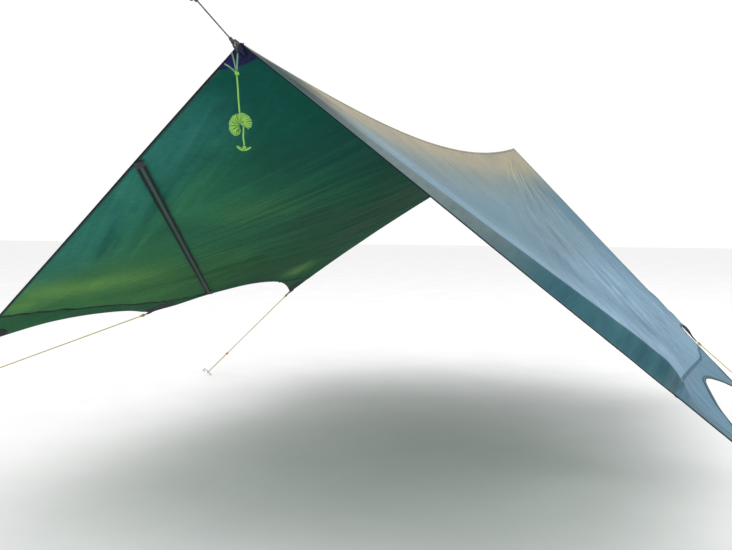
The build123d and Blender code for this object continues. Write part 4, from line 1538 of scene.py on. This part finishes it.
@dataclass(frozen=True)
class TieOuts:
    """Works out every tie-out's frame from the cut and the stakes."""

    tip_gap: float = 0.008
    loop_drop: float = 0.015
    line_rise: float = 19.5
    eye_reach: float = 0.017

    def stake(self, name: str) -> Optional[Array]:
        """Where a guy line meets its stake, if the tie-out has one."""
        table = {"mid_left": (-2.848, 1.250, -1.380), "far_left": (-1.865, 2.927, -1.380),
                 "far_right": (1.457, 3.207, -1.380)}
        return np.array(table[name]) if name in table else None

    def tip(self, name: str) -> Tuple[Panel, Place, Array]:
        """A side tie-out's panel, place and fabric point."""
        place, side = name.split("_")
        panel = PANELS[Side[side.upper()]]
        return panel, Place(place), panel.tips[Place(place)]

    def pull(self, name: str) -> Array:
        """The direction that a tie-out is pulled in."""
        panel, place, tip = self.tip(name)
        stake = self.stake(name)
        if stake is not None:
            return unit(stake - tip)
        if place is Place.MID:
            return tip - panel.ridge(np.array(tip[1] / CUT.ridge_length))
        ridge_end = panel.ridge(np.array(0.0 if place is Place.NEAR else 1.0))
        return unit(tip - ridge_end) + unit(tip - panel.tips[Place.MID])

    def loop_frame(self, name: str) -> TieFrame:
        """The frame of a side tie-out's webbing loop."""
        panel, place, tip = self.tip(name)
        share = {Place.NEAR: 0.0, Place.MID: panel.mid_share, Place.FAR: 1.0}[place]
        normal = panel.normal(np.array(1.0), np.array(share))
        pull = self.pull(name)
        outward = unit(pull - normal * np.dot(pull, normal))
        return TieFrame(tip + outward * self.tip_gap, outward, normal)

    def eye_frame(self, name: str) -> TieFrame:
        """The frame of a side tie-out's eye, turned about its bar to face its guy line."""
        base = self.loop_frame(name)
        stake = self.stake(name)
        if stake is None:
            return base
        pull = unit(stake - base.origin)
        facing = unit(pull - base.y * np.dot(pull, base.y))
        return TieFrame(base.origin, facing, np.cross(facing, base.y))

    def ridge_frame(self, end: str) -> TieFrame:
        """The frame of a ridge end's loop, which stands upright."""
        panel = PANELS[Side.RIGHT]
        if end == "near":
            rise = math.radians(self.line_rise)
            outward, sideways = np.array([0, -math.cos(rise), math.sin(rise)]), np.array([1.0, 0, 0])
            tip = panel.ridge(np.array(0.0))
        else:
            outward = unit(panel.ridge(np.array(1.0)) - panel.ridge(np.array(0.98)))
            sideways, tip = np.array([-1.0, 0, 0]), panel.ridge(np.array(1.0))
        return TieFrame(tip + outward * self.tip_gap - np.array([0, 0, self.loop_drop]), outward, sideways)

    def guy_frame(self, name: str) -> Tuple[TieFrame, float]:
        """A guy line's frame, from the eye's bore towards its stake, and how far it runs."""
        eye = self.eye_frame(name)
        bore = eye.place([self.eye_reach, 0, 0])
        stake = self.stake(name)
        pull = unit(stake - bore)
        level = unit(np.cross((0.0, 0.0, 1.0), pull))
        return TieFrame(bore, pull, np.cross(pull, level)), float(np.linalg.norm(stake - bore))


TIES = TieOuts()
SIDE_TIES = tuple(f"{place.value}_{side.label}" for side in Side for place in Place)


@dataclass
class WebLoop:
    """A webbing loop sewn over the cloth and round an eye's bar."""

    inside: float = 0.00195
    thickness: float = 0.0014
    width: float = 0.016
    tail: float = 0.036
    tack_pitch: float = 0.0011

    def build(self, name: str, frame: TieFrame) -> bpy.types.Object:
        """Make a loop and its bar tacks in a tie-out's frame.

        Args:
            name: the tie-out's name, as the frame's node has it.
            frame: its axes.

        Returns:
            The webbing piece.
        """
        middle = self.inside + self.thickness / 2
        tails = np.linspace(-self.tail, 0, 26)
        turn = np.linspace(math.pi / 2, -math.pi / 2, 14)[1:-1]
        x = np.concatenate([tails, middle * np.cos(turn), tails[::-1]])
        z = np.concatenate([np.full(26, middle), middle * np.sin(turn), np.full(26, -middle)])
        path = np.stack([x, z], axis=-1)
        run = np.concatenate([[0], np.cumsum(np.linalg.norm(np.diff(path, axis=0), axis=1))])
        tangent = np.gradient(path, axis=0)
        tangent /= np.linalg.norm(tangent, axis=1)[:, None]
        out = np.stack([-tangent[:, 1], tangent[:, 0]], axis=-1)
        across = np.array([-0.5, -0.46, -0.38, -0.2, 0, 0.2, 0.38, 0.46, 0.5]) * self.width
        swell = np.array([0.35, 1.0, 1.0, 0.85, 0.85, 0.85, 1.0, 1.0, 0.35]) * self.thickness / 2
        ring_y = np.concatenate([across, across[::-1]])
        ring_h = np.concatenate([swell, -swell[::-1]])
        ribs = 1 + 0.10 * np.sin(2 * math.pi * run / 0.0022)
        points, marks = [], []
        for centre, normal, rib, along in zip(path, out, ribs, run):
            flat = centre[None, :] + normal[None, :] * (ring_h * rib)[:, None]
            points.append(frame.place(np.stack([flat[:, 0], ring_y, flat[:, 1]], axis=-1)))
            marks.append(np.stack([np.full(18, along), ring_y / self.width, np.zeros(18)], axis=-1))
        faces = grid_faces(len(path), 18, wrap=True)
        faces.append(list(range(18)))
        faces.append([(len(path) - 1) * 18 + k for k in range(18)][::-1])
        piece = make_piece("webbing_" + name, np.concatenate(points), faces, LOOP_WEB, ROOT,
                           {"tape": np.concatenate(marks)})
        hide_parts("web_loop_" + name)
        self.tacks(name, frame)
        return piece

    def tacks(self, name: str, frame: TieFrame) -> None:
        """The zigzag bar tacks that hold the loop, on both faces."""
        parts = []
        height = self.inside + self.thickness * 1.02
        for x in (-0.010, -0.020, -0.030):
            steps = int(self.width * 0.8 / self.tack_pitch)
            y = np.linspace(-0.4, 0.4, steps) * self.width
            zig = x + 0.0011 * (np.arange(steps) % 2 * 2 - 1)
            for sign in (1, -1):
                line = frame.place(np.stack([zig, y, np.full(steps, sign * height)], axis=-1))
                parts.append(tube(line, lambda run: np.full(len(run), 0.0003), 5))
        points, faces, marks = merge_parts(parts)
        make_piece("bar_tacks_" + name, points, faces, THREAD, ROOT, {"tape": marks})


# ---------------------------------------------------------------- cords


def braided_tube(line: Array, diameter: float, sides: int = 12, step: float = 0.0014,
                 pitch: float = 0.009, taper: float = 0.0) -> Tuple[Array, List[List[int]], Array, Array]:
    """A cord's tube with a braided surface, its strands standing proud.

    Args:
        line: the cord's middle line.
        diameter: its diameter.
        sides: vertices round it.
        step: how far apart its rings are.
        pitch: the braid's pitch.
        taper: round the ends over this length.

    Returns:
        The vertices, the faces, the braid marks and the even middle line.
    """
    path = even_path(line, step)
    run = lengths_along(path)
    points, faces, marks = tube(path, lambda along: np.full(len(along), diameter / 2), sides)
    around = marks[:, 1] * 2 * math.pi
    turn = marks[:, 0] * 2 * math.pi / pitch
    strands = np.maximum(np.cos(3 * around + turn * 1.5), np.cos(3 * around - turn * 1.5))
    centres = np.repeat(path, sides, axis=0)
    ends = np.minimum(marks[:, 0], run[-1] - marks[:, 0])
    cap = np.sqrt(np.clip(ends / taper, 0.05, 1)) if taper > 0 else 1.0
    scale = (0.965 + 0.055 * strands) * cap
    points = centres + (points - centres) * scale[:, None]
    return points, faces, marks, path


def helix(start: Array, axis: Array, radius: float, turns: float, length: float, steps: int = 16,
          phase: float = 0.0) -> Array:
    """Points of a helix about a straight axis."""
    axis = unit(axis)
    side = unit(np.cross(axis, (0.31, 0.17, 0.93)))
    other = np.cross(axis, side)
    share = np.linspace(0, 1, int(turns * steps) + 1)
    angle = phase + share * turns * 2 * math.pi
    return (start + axis * (share * length)[:, None] + radius * np.cos(angle)[:, None] * side
            + radius * np.sin(angle)[:, None] * other)


def knot_mesh(start: Array, axis: Array, length: float, core: float, strand: float, turns: float
              ) -> Tuple[Array, List[List[int]], Array]:
    """A wrapped knot on a cord: coils of strand with both ends tucked back along it.

    Args:
        start: where the knot begins on the cord.
        axis: the cord's direction there.
        length: the knot's length.
        core: the radius of what it goes round.
        strand: the strand's diameter.
        turns: how many turns show.

    Returns:
        The vertices, the faces and the braid marks.
    """
    coil = helix(start + unit(axis) * strand / 2, axis, core + strand * 0.42, turns, length - strand)
    points, faces, marks, _ = braided_tube(coil, strand, 10, 0.0009, taper=strand * 0.6)
    back = coil[0] + (coil[-1] - coil[0]) * np.linspace(-0.12, 1.12, 12)[:, None]
    other = braided_tube(back, strand, 10, 0.0012, taper=strand * 0.6)
    return merge_parts([(points, faces, marks), other[:3]])


@dataclass
class GuyLine:
    """A guy line: cord, eye knot, stopper knot, tensioner and stake."""

    name: str
    diameter: float = 0.005
    start: float = 0.010
    return_length: float = 0.190
    loop_radius: float = 0.0059
    straight: float = 0.030
    ring_place: float = 0.0075
    ring_radius: float = 0.0055
    knot_length: float = 0.014

    def route(self) -> Array:
        """The cord's points: out to the stake, round it and back to the tensioner."""
        frame, reach = TIES.guy_frame(self.name)
        far, gap = reach + self.loop_radius, -2 * self.loop_radius
        back = far - self.return_length
        local = [(self.start, 0, 0), (far / 2, 0, 0), (far - self.straight, 0, 0), (far + 0.0015, 0.0008, 0),
                 (far + 0.0015, gap - 0.0008, 0), (far - self.straight, gap, 0), (far - 0.1, gap, 0),
                 (back, gap, 0)]
        return frame.place(local)

    def build(self) -> bpy.types.Object:
        frame, reach = TIES.guy_frame(self.name)
        route = self.route()
        points, faces, marks, path = braided_tube(spline_points(route), self.diameter, taper=0.002)
        cord = make_piece("guy_line_" + self.name, points, faces, GUY_CORD, ROOT,
                          {"braid": marks})
        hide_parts("guy_cord_" + self.name)
        knots = self.knots(frame, reach)
        return cord

    def knots(self, frame: TieFrame, reach: float) -> bpy.types.Object:
        """The link round the eye, the knot beside it and the stopper at the cord's end."""
        turn = np.linspace(0, 2 * math.pi, 40)
        ring = frame.place(np.stack([self.ring_place + self.ring_radius * np.cos(turn),
                                     0.0006 * np.sin(turn / 2),
                                     self.ring_radius * np.sin(turn)], axis=-1))
        link = braided_tube(ring, self.diameter * 0.95, 10)[:3]
        eye = knot_mesh(frame.place([self.start, 0, 0]), frame.x, self.knot_length, 0.0025, 0.0032, 4)
        back = reach + self.loop_radius - self.return_length
        stop = frame.place([back - 0.0035, -2 * self.loop_radius, 0])
        stopper = knot_mesh(stop, frame.x, self.knot_length / 2, 0.0022, 0.0030, 2)
        end = frame.place([[back - 0.0035, -2 * self.loop_radius, 0],
                           [back - 0.010, -2 * self.loop_radius, 0.0006],
                           [back - 0.020, -2 * self.loop_radius - 0.001, 0.0002]])
        tail = braided_tube(end, self.diameter * 0.9, 10, taper=0.002)[:3]
        points, faces, marks = merge_parts([link, eye, stopper, tail])
        piece = make_piece("guy_line_knots_" + self.name, points, faces, GUY_CORD, ROOT,
                           {"braid": marks})
        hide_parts("guy_knots_" + self.name)
        return piece


@dataclass
class RidgeLine:
    """The near ridge line, its knot at the eye and the loop tied at its end."""

    diameter: float = 0.003
    start: float = 0.027
    reach: float = 0.178
    knot_length: float = 0.014
    loop_radius: float = 0.014

    def build(self) -> bpy.types.Object:
        """Make the cord, its knot and its end loop."""
        frame = TIES.ridge_frame("near")
        run = self.reach - self.start
        local = [(self.start + run * share, 0, 0) for share in (0, 0.25, 0.5, 0.75, 1)]
        route = frame.place(local)
        points, faces, marks, path = braided_tube(spline_points(route), self.diameter)
        cord = make_piece("ridge_line", points, faces, RIDGE_CORD, ROOT, {"braid": marks})
        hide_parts("ridge_cord")
        knot_start = frame.place([self.start, 0, 0])
        knot = knot_mesh(knot_start, frame.x, self.knot_length, 0.0015, 0.0028, 4)
        turn = np.linspace(0, 2 * math.pi, 32)
        ring = frame.place(np.stack([0.0225 + 0.005 * np.cos(turn), 0.0005 * np.sin(turn / 2),
                                     0.005 * np.sin(turn)], axis=-1))
        link = braided_tube(ring, self.diameter, 10)[:3]
        points, faces, marks = merge_parts([knot, link])
        eye_knot = make_piece("ridge_line_knot", points, faces, RIDGE_CORD, ROOT,
                              {"braid": marks})
        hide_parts("ridge_cord_knot")
        loop = self.end_loop(frame)
        return cord

    def end_loop(self, frame: TieFrame) -> bpy.types.Object:
        """The wrapped knot and loop at the line's outer end."""
        knot = knot_mesh(frame.place([self.reach, 0, 0]), frame.x, self.knot_length, 0.0015, 0.0030, 4)
        centre = self.reach + self.knot_length + self.loop_radius - 0.0015
        turn = np.linspace(math.pi, 3 * math.pi, 48)
        wide = 0.80 + 0.20 * np.cos((turn - math.pi) / 2) ** 2
        ring = frame.place(np.stack([centre + self.loop_radius * np.cos(turn),
                                     self.loop_radius * np.sin(turn) * wide, np.zeros_like(turn)], axis=-1))
        loop = braided_tube(ring, self.diameter, 12)[:3]
        points, faces, marks = merge_parts([knot, loop])
        piece = make_piece("ridge_line_loop", points, faces, RIDGE_CORD, ROOT, {"braid": marks})
        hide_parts("ridge_end_loop")
        return piece


@dataclass
class Hank:
    """Spare cord that hangs at the near end: three legs, a joining knot, the wound hank and its tail."""

    cord: float = 0.0036
    plane: float = 0.008
    axis_radius: float = 0.0155
    wrap_radius: float = 0.0112
    start_angle: float = -22.0
    sweep: float = 278.0
    turns: int = 25
    steps: int = 14
    levels: int = 3

    @property
    def joint(self) -> Array:
        """The joining knot, about which the hank swings."""
        return np.array([-0.014, self.plane, -0.063])

    @property
    def centre(self) -> Array:
        """The centre of the hank's curved middle line."""
        return np.array([-0.006, self.plane, -0.178])

    def bundle_point(self, degrees: Array, out: Array, aside: Array) -> Array:
        """A place in the bundle: angle along it, distance outward from its middle line, and aside."""
        angle = np.radians(degrees)
        radial = np.stack([np.cos(angle), np.zeros_like(angle), np.sin(angle)], axis=-1)
        place = self.centre + radial * (self.axis_radius + out)[..., None]
        place[..., 1] += aside
        return place

    def wraps(self) -> Array:
        """The turns round the bundle; they lie three deep on its inner side, where the bundle is short."""
        count = self.turns * self.steps
        number = np.arange(count + 1) / self.steps
        share = number / self.turns
        degrees = self.start_angle + self.sweep * share
        turn = 2 * math.pi * number
        pinch = 1 - 0.24 * np.exp(-(((degrees - 96) / 15) ** 2))
        ends = np.clip((np.abs(share * 2 - 1) - 0.76) / 0.24, 0, 1)
        rounding = np.sqrt(np.clip(1 - 0.86 * ends**2, 0.05, 1))
        radius = self.wrap_radius * pinch * rounding
        gap = math.radians(self.sweep) / self.turns * (self.axis_radius + radius * np.cos(turn))
        needed = np.sqrt(np.clip((self.cord * 0.98) ** 2 - gap**2, 0, None))
        level = (np.floor(number + 0.5).astype(int) * 2) % self.levels
        radius = np.maximum(radius - level * needed, self.cord * 0.7)
        loose = 0.00035 * np.sin(2.3 * number) + 0.0003 * np.sin(5.1 * number + 1.0)
        return self.bundle_point(degrees + 1.2 * np.sin(1.7 * number), (radius + loose) * np.cos(turn),
                                 (radius + loose) * np.sin(turn))

    def route(self) -> Array:
        """The main cord: strand, through the bundle, round it, back through it, and out as the tail."""
        plane = self.plane
        strand = [(-0.014, plane, -0.067), (-0.0115, plane, -0.095), (-0.0105, plane, -0.122),
                  (-0.008, plane, -0.148)]
        through = np.array([96.0, 72.0, 44.0, 16.0, -10.0])
        inward = self.bundle_point(through, np.array([0.006, 0.004, 0.0035, 0.0035, 0.002]),
                                   np.array([0.0, 0.0020, 0.0020, 0.0020, 0.0020]))
        back = np.array([246.0, 222.0, 190.0, 160.0, 120.0, 80.0, 40.0])
        outward = self.bundle_point(back, np.array([0.002, 0.0035, 0.004, 0.004, 0.004, 0.002, -0.004]),
                                    np.full(7, -0.0020))
        tail = [(0.0015, plane, -0.184), (0.0015, plane, -0.192), (0.0, plane, -0.206),
                (0.0035, plane, -0.223)]
        return np.concatenate([np.array(strand), inward, self.wraps(), outward, np.array(tail)])

    def build(self) -> None:
        """Make the legs, knots, strands, winding and tail."""
        ends = [self.joint_knot(), self.end_knot()]
        route = self.route()
        points, faces, marks, path = braided_tube(spline_points(route, 6), self.cord, 12, 0.0015)
        cord = make_piece("hank_line", points, faces, HANK_CORD, "hank", {"braid": marks})
        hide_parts("hank_strand", "hank_winding", "hank_tail")
        tops = [(-0.024, 0.004, -0.017), (-0.0065, 0.002, -0.012), (-0.049, 0.017, -0.039)]
        bends = (0.0012, -0.0010, 0.0018)
        for number, (top, bend) in enumerate(zip(tops, bends)):
            start = np.array(top)
            run = self.joint - start
            middle = start + run * 0.5 + np.array([bend, 0, bend])
            stop = start + run * (1 - 0.0055 / np.linalg.norm(run))
            leg = self.plain(f"hank_leg_{number + 1}", np.array([start, middle, stop]), ROOT)
            if number == 0:
                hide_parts("hank_legs")

    def plain(self, name: str, route: Array, body: str) -> bpy.types.Object:
        """A short plain length of the same cord, in the greyer colour of painted shade."""
        points, faces, marks, path = braided_tube(spline_points(route), self.cord, 12, 0.0012)
        piece = make_piece(name, points, faces, HANK_LEG_CORD_SHADED, body, {"braid": marks})
        return piece

    def joint_knot(self) -> bpy.types.Object:
        """The wrapped knot that gathers the legs."""
        down = np.array([0.10, 0, -1.0])
        start = self.joint + np.array([0, 0, 0.0045])
        knot = knot_mesh(start, down, 0.010, 0.0024, 0.0030, 3)
        points, faces, marks = knot
        piece = make_piece("hank_gathering_knot", points, faces, HANK_CORD, "hank",
                           {"braid": marks})
        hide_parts("hank_joint_knot")
        return piece

    def end_knot(self) -> bpy.types.Object:
        """The bow at the tail's end: a wrapped knot with two short loops that curl up."""
        end = np.array([0.0035, self.plane, -0.223])
        low = end + np.array([0, 0, -0.0005])
        parts = [knot_mesh(low, np.array([0.0, 0, -1.0]), 0.009, 0.0015, 0.0030, 3)]
        for sign, reach, lift in ((-1, 0.0185, 0.0085), (1, 0.0150, 0.0045)):
            share = np.linspace(0, 1, 26)
            out = np.sin(share * math.pi)
            x = end[0] + sign * reach * out
            z = end[2] - 0.0095 + lift * out**2 + 0.0016 * np.cos(share * math.pi)
            y = end[1] + 0.0021 * np.cos(share * math.pi)
            line = np.stack([x, y, z], axis=-1)
            parts.append(braided_tube(line, self.cord * 0.9, 10, 0.0011, taper=0.002)[:3])
        points, faces, marks = merge_parts(parts)
        piece = make_piece("hank_bow", points, faces, HANK_CORD, "hank", {"braid": marks})
        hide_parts("hank_end_knot")
        return piece


# ---------------------------------------------------------------- studio


@dataclass
class Studio:
    """The floor, the soft lights and the camera."""

    ground: float = -1.400
    floor_size: float = 60.0
    eye_point: Tuple[float, float, float] = (0.871, -1.592, -0.390)
    yaw: float = 19.9
    pitch: float = -3.9
    lens: float = 39.34
    sensor: float = 36.0

    def build(self) -> None:
        """Set the scene round the tarp."""
        self.floor()
        self.world()
        bpy.context.scene.view_settings.view_transform = "Standard"
        self.softbox("overhead_softbox", (1.5, 1.5, 7.0), (0, 0, 0), 13.0, 210.0, (1.0, 0.99, 0.97))
        self.softbox("front_softbox", (1.5, -6.0, 1.2), (78, 0, 10), 4.0, 90.0, (1.0, 1.0, 1.0))
        self.softbox("right_softbox", (7.0, 1.0, 2.5), (62, 0, 90), 3.0, 110.0, (0.93, 0.97, 1.0))
        self.camera()

    def floor(self) -> None:
        """A plain pale floor."""
        half = self.floor_size / 2
        corners = [(-half, -half), (half, -half), (half, half), (-half, half)]
        mesh = bpy.data.meshes.new("floor")
        mesh.from_pydata([(x, y, self.ground) for x, y in corners], [], [[0, 1, 2, 3]])
        graph = Graph("floor_paper")
        grain = graph.noise(graph.position(), 3.0, 4.0)
        graph.feed(graph.shader.inputs["Base Color"], graph.mix(graph.span(grain, 0.3, 0.7), (0.88, 0.88, 0.88),
                                                                (0.91, 0.91, 0.91)))
        graph.set(Roughness=0.9, Specular_IOR_Level=0.1)
        mesh.materials.append(graph.material)
        floor = bpy.data.objects.new("studio_floor", mesh)
        bpy.context.scene.collection.objects.link(floor)

    def world(self) -> None:
        """A plain pale surround."""
        world = bpy.data.worlds.new("studio_world")
        world.use_nodes = True
        shader = world.node_tree.nodes["Background"]
        shader.inputs["Color"].default_value = (1.0, 1.0, 1.0, 1.0)
        shader.inputs["Strength"].default_value = 1.0
        bpy.context.scene.world = world

    def softbox(self, name: str, place: Tuple[float, float, float], turn: Tuple[float, float, float],
                size: float, power: float, tint: Colour) -> None:
        """One large soft light.

        Args:
            name: the light's name.
            place: where it hangs.
            turn: its rotation in degrees.
            size: its width.
            power: its power in watts.
            tint: its colour.
        """
        data = bpy.data.lights.new(name, "AREA")
        data.shape = "SQUARE"
        data.size = size
        data.energy = power
        data.color = tint
        light = bpy.data.objects.new(name, data)
        light.location = place
        light.rotation_euler = tuple(math.radians(angle) for angle in turn)
        bpy.context.scene.collection.objects.link(light)

    def camera(self) -> None:
        """The camera, low at the near right."""
        data = bpy.data.cameras.new("view")
        data.sensor_width = self.sensor
        data.lens = self.lens
        data.clip_start = 0.02
        camera = bpy.data.objects.new("view", data)
        camera.location = self.eye_point
        camera.rotation_euler = (math.radians(90 + self.pitch), 0, math.radians(self.yaw))
        bpy.context.scene.collection.objects.link(camera)
        bpy.context.scene.camera = camera


def dress_frame() -> None:
    """Give the carried-over rigid nodes their finishes."""
    finishes = {"eye_": PLASTIC, "strap_edge_plate": PLASTIC, "strap_buckle": PLASTIC, "tensioner_": TENSIONER,
                "stake_": STAKE}
    for name in frame["nodes"]:
        for start, finish in finishes.items():
            if name.startswith(start):
                node = bpy.data.objects[name]
                node.data.materials.clear()
                node.data.materials.append(PAINT.get(finish))
                LOG.info("%s: dressed as %s", name, finish.name)


def main() -> None:
    """Build the tarp's visual pieces in order."""
    logging.basicConfig(level=logging.INFO, format="%(name)s %(message)s")
    Studio().build()
    for name in ("mid_left", "far_left", "far_right"):
        GuyLine(name).build()
    RidgeLine().build()
    Hank().build()
    for side in Side:
        panel = PANELS[side]
        Canopy(panel).build()
        EdgeBindings(panel).build()
        Patches(panel).build()
    RidgeSeam().build()
    StormStrap().build()
    loop = WebLoop()
    for name in SIDE_TIES:
        loop.build(name, TIES.loop_frame(name))
    for end in ("near", "far"):
        loop.build("ridge_" + end, TIES.ridge_frame(end))
    dress_frame()


if __name__ == "__main__":
    main()
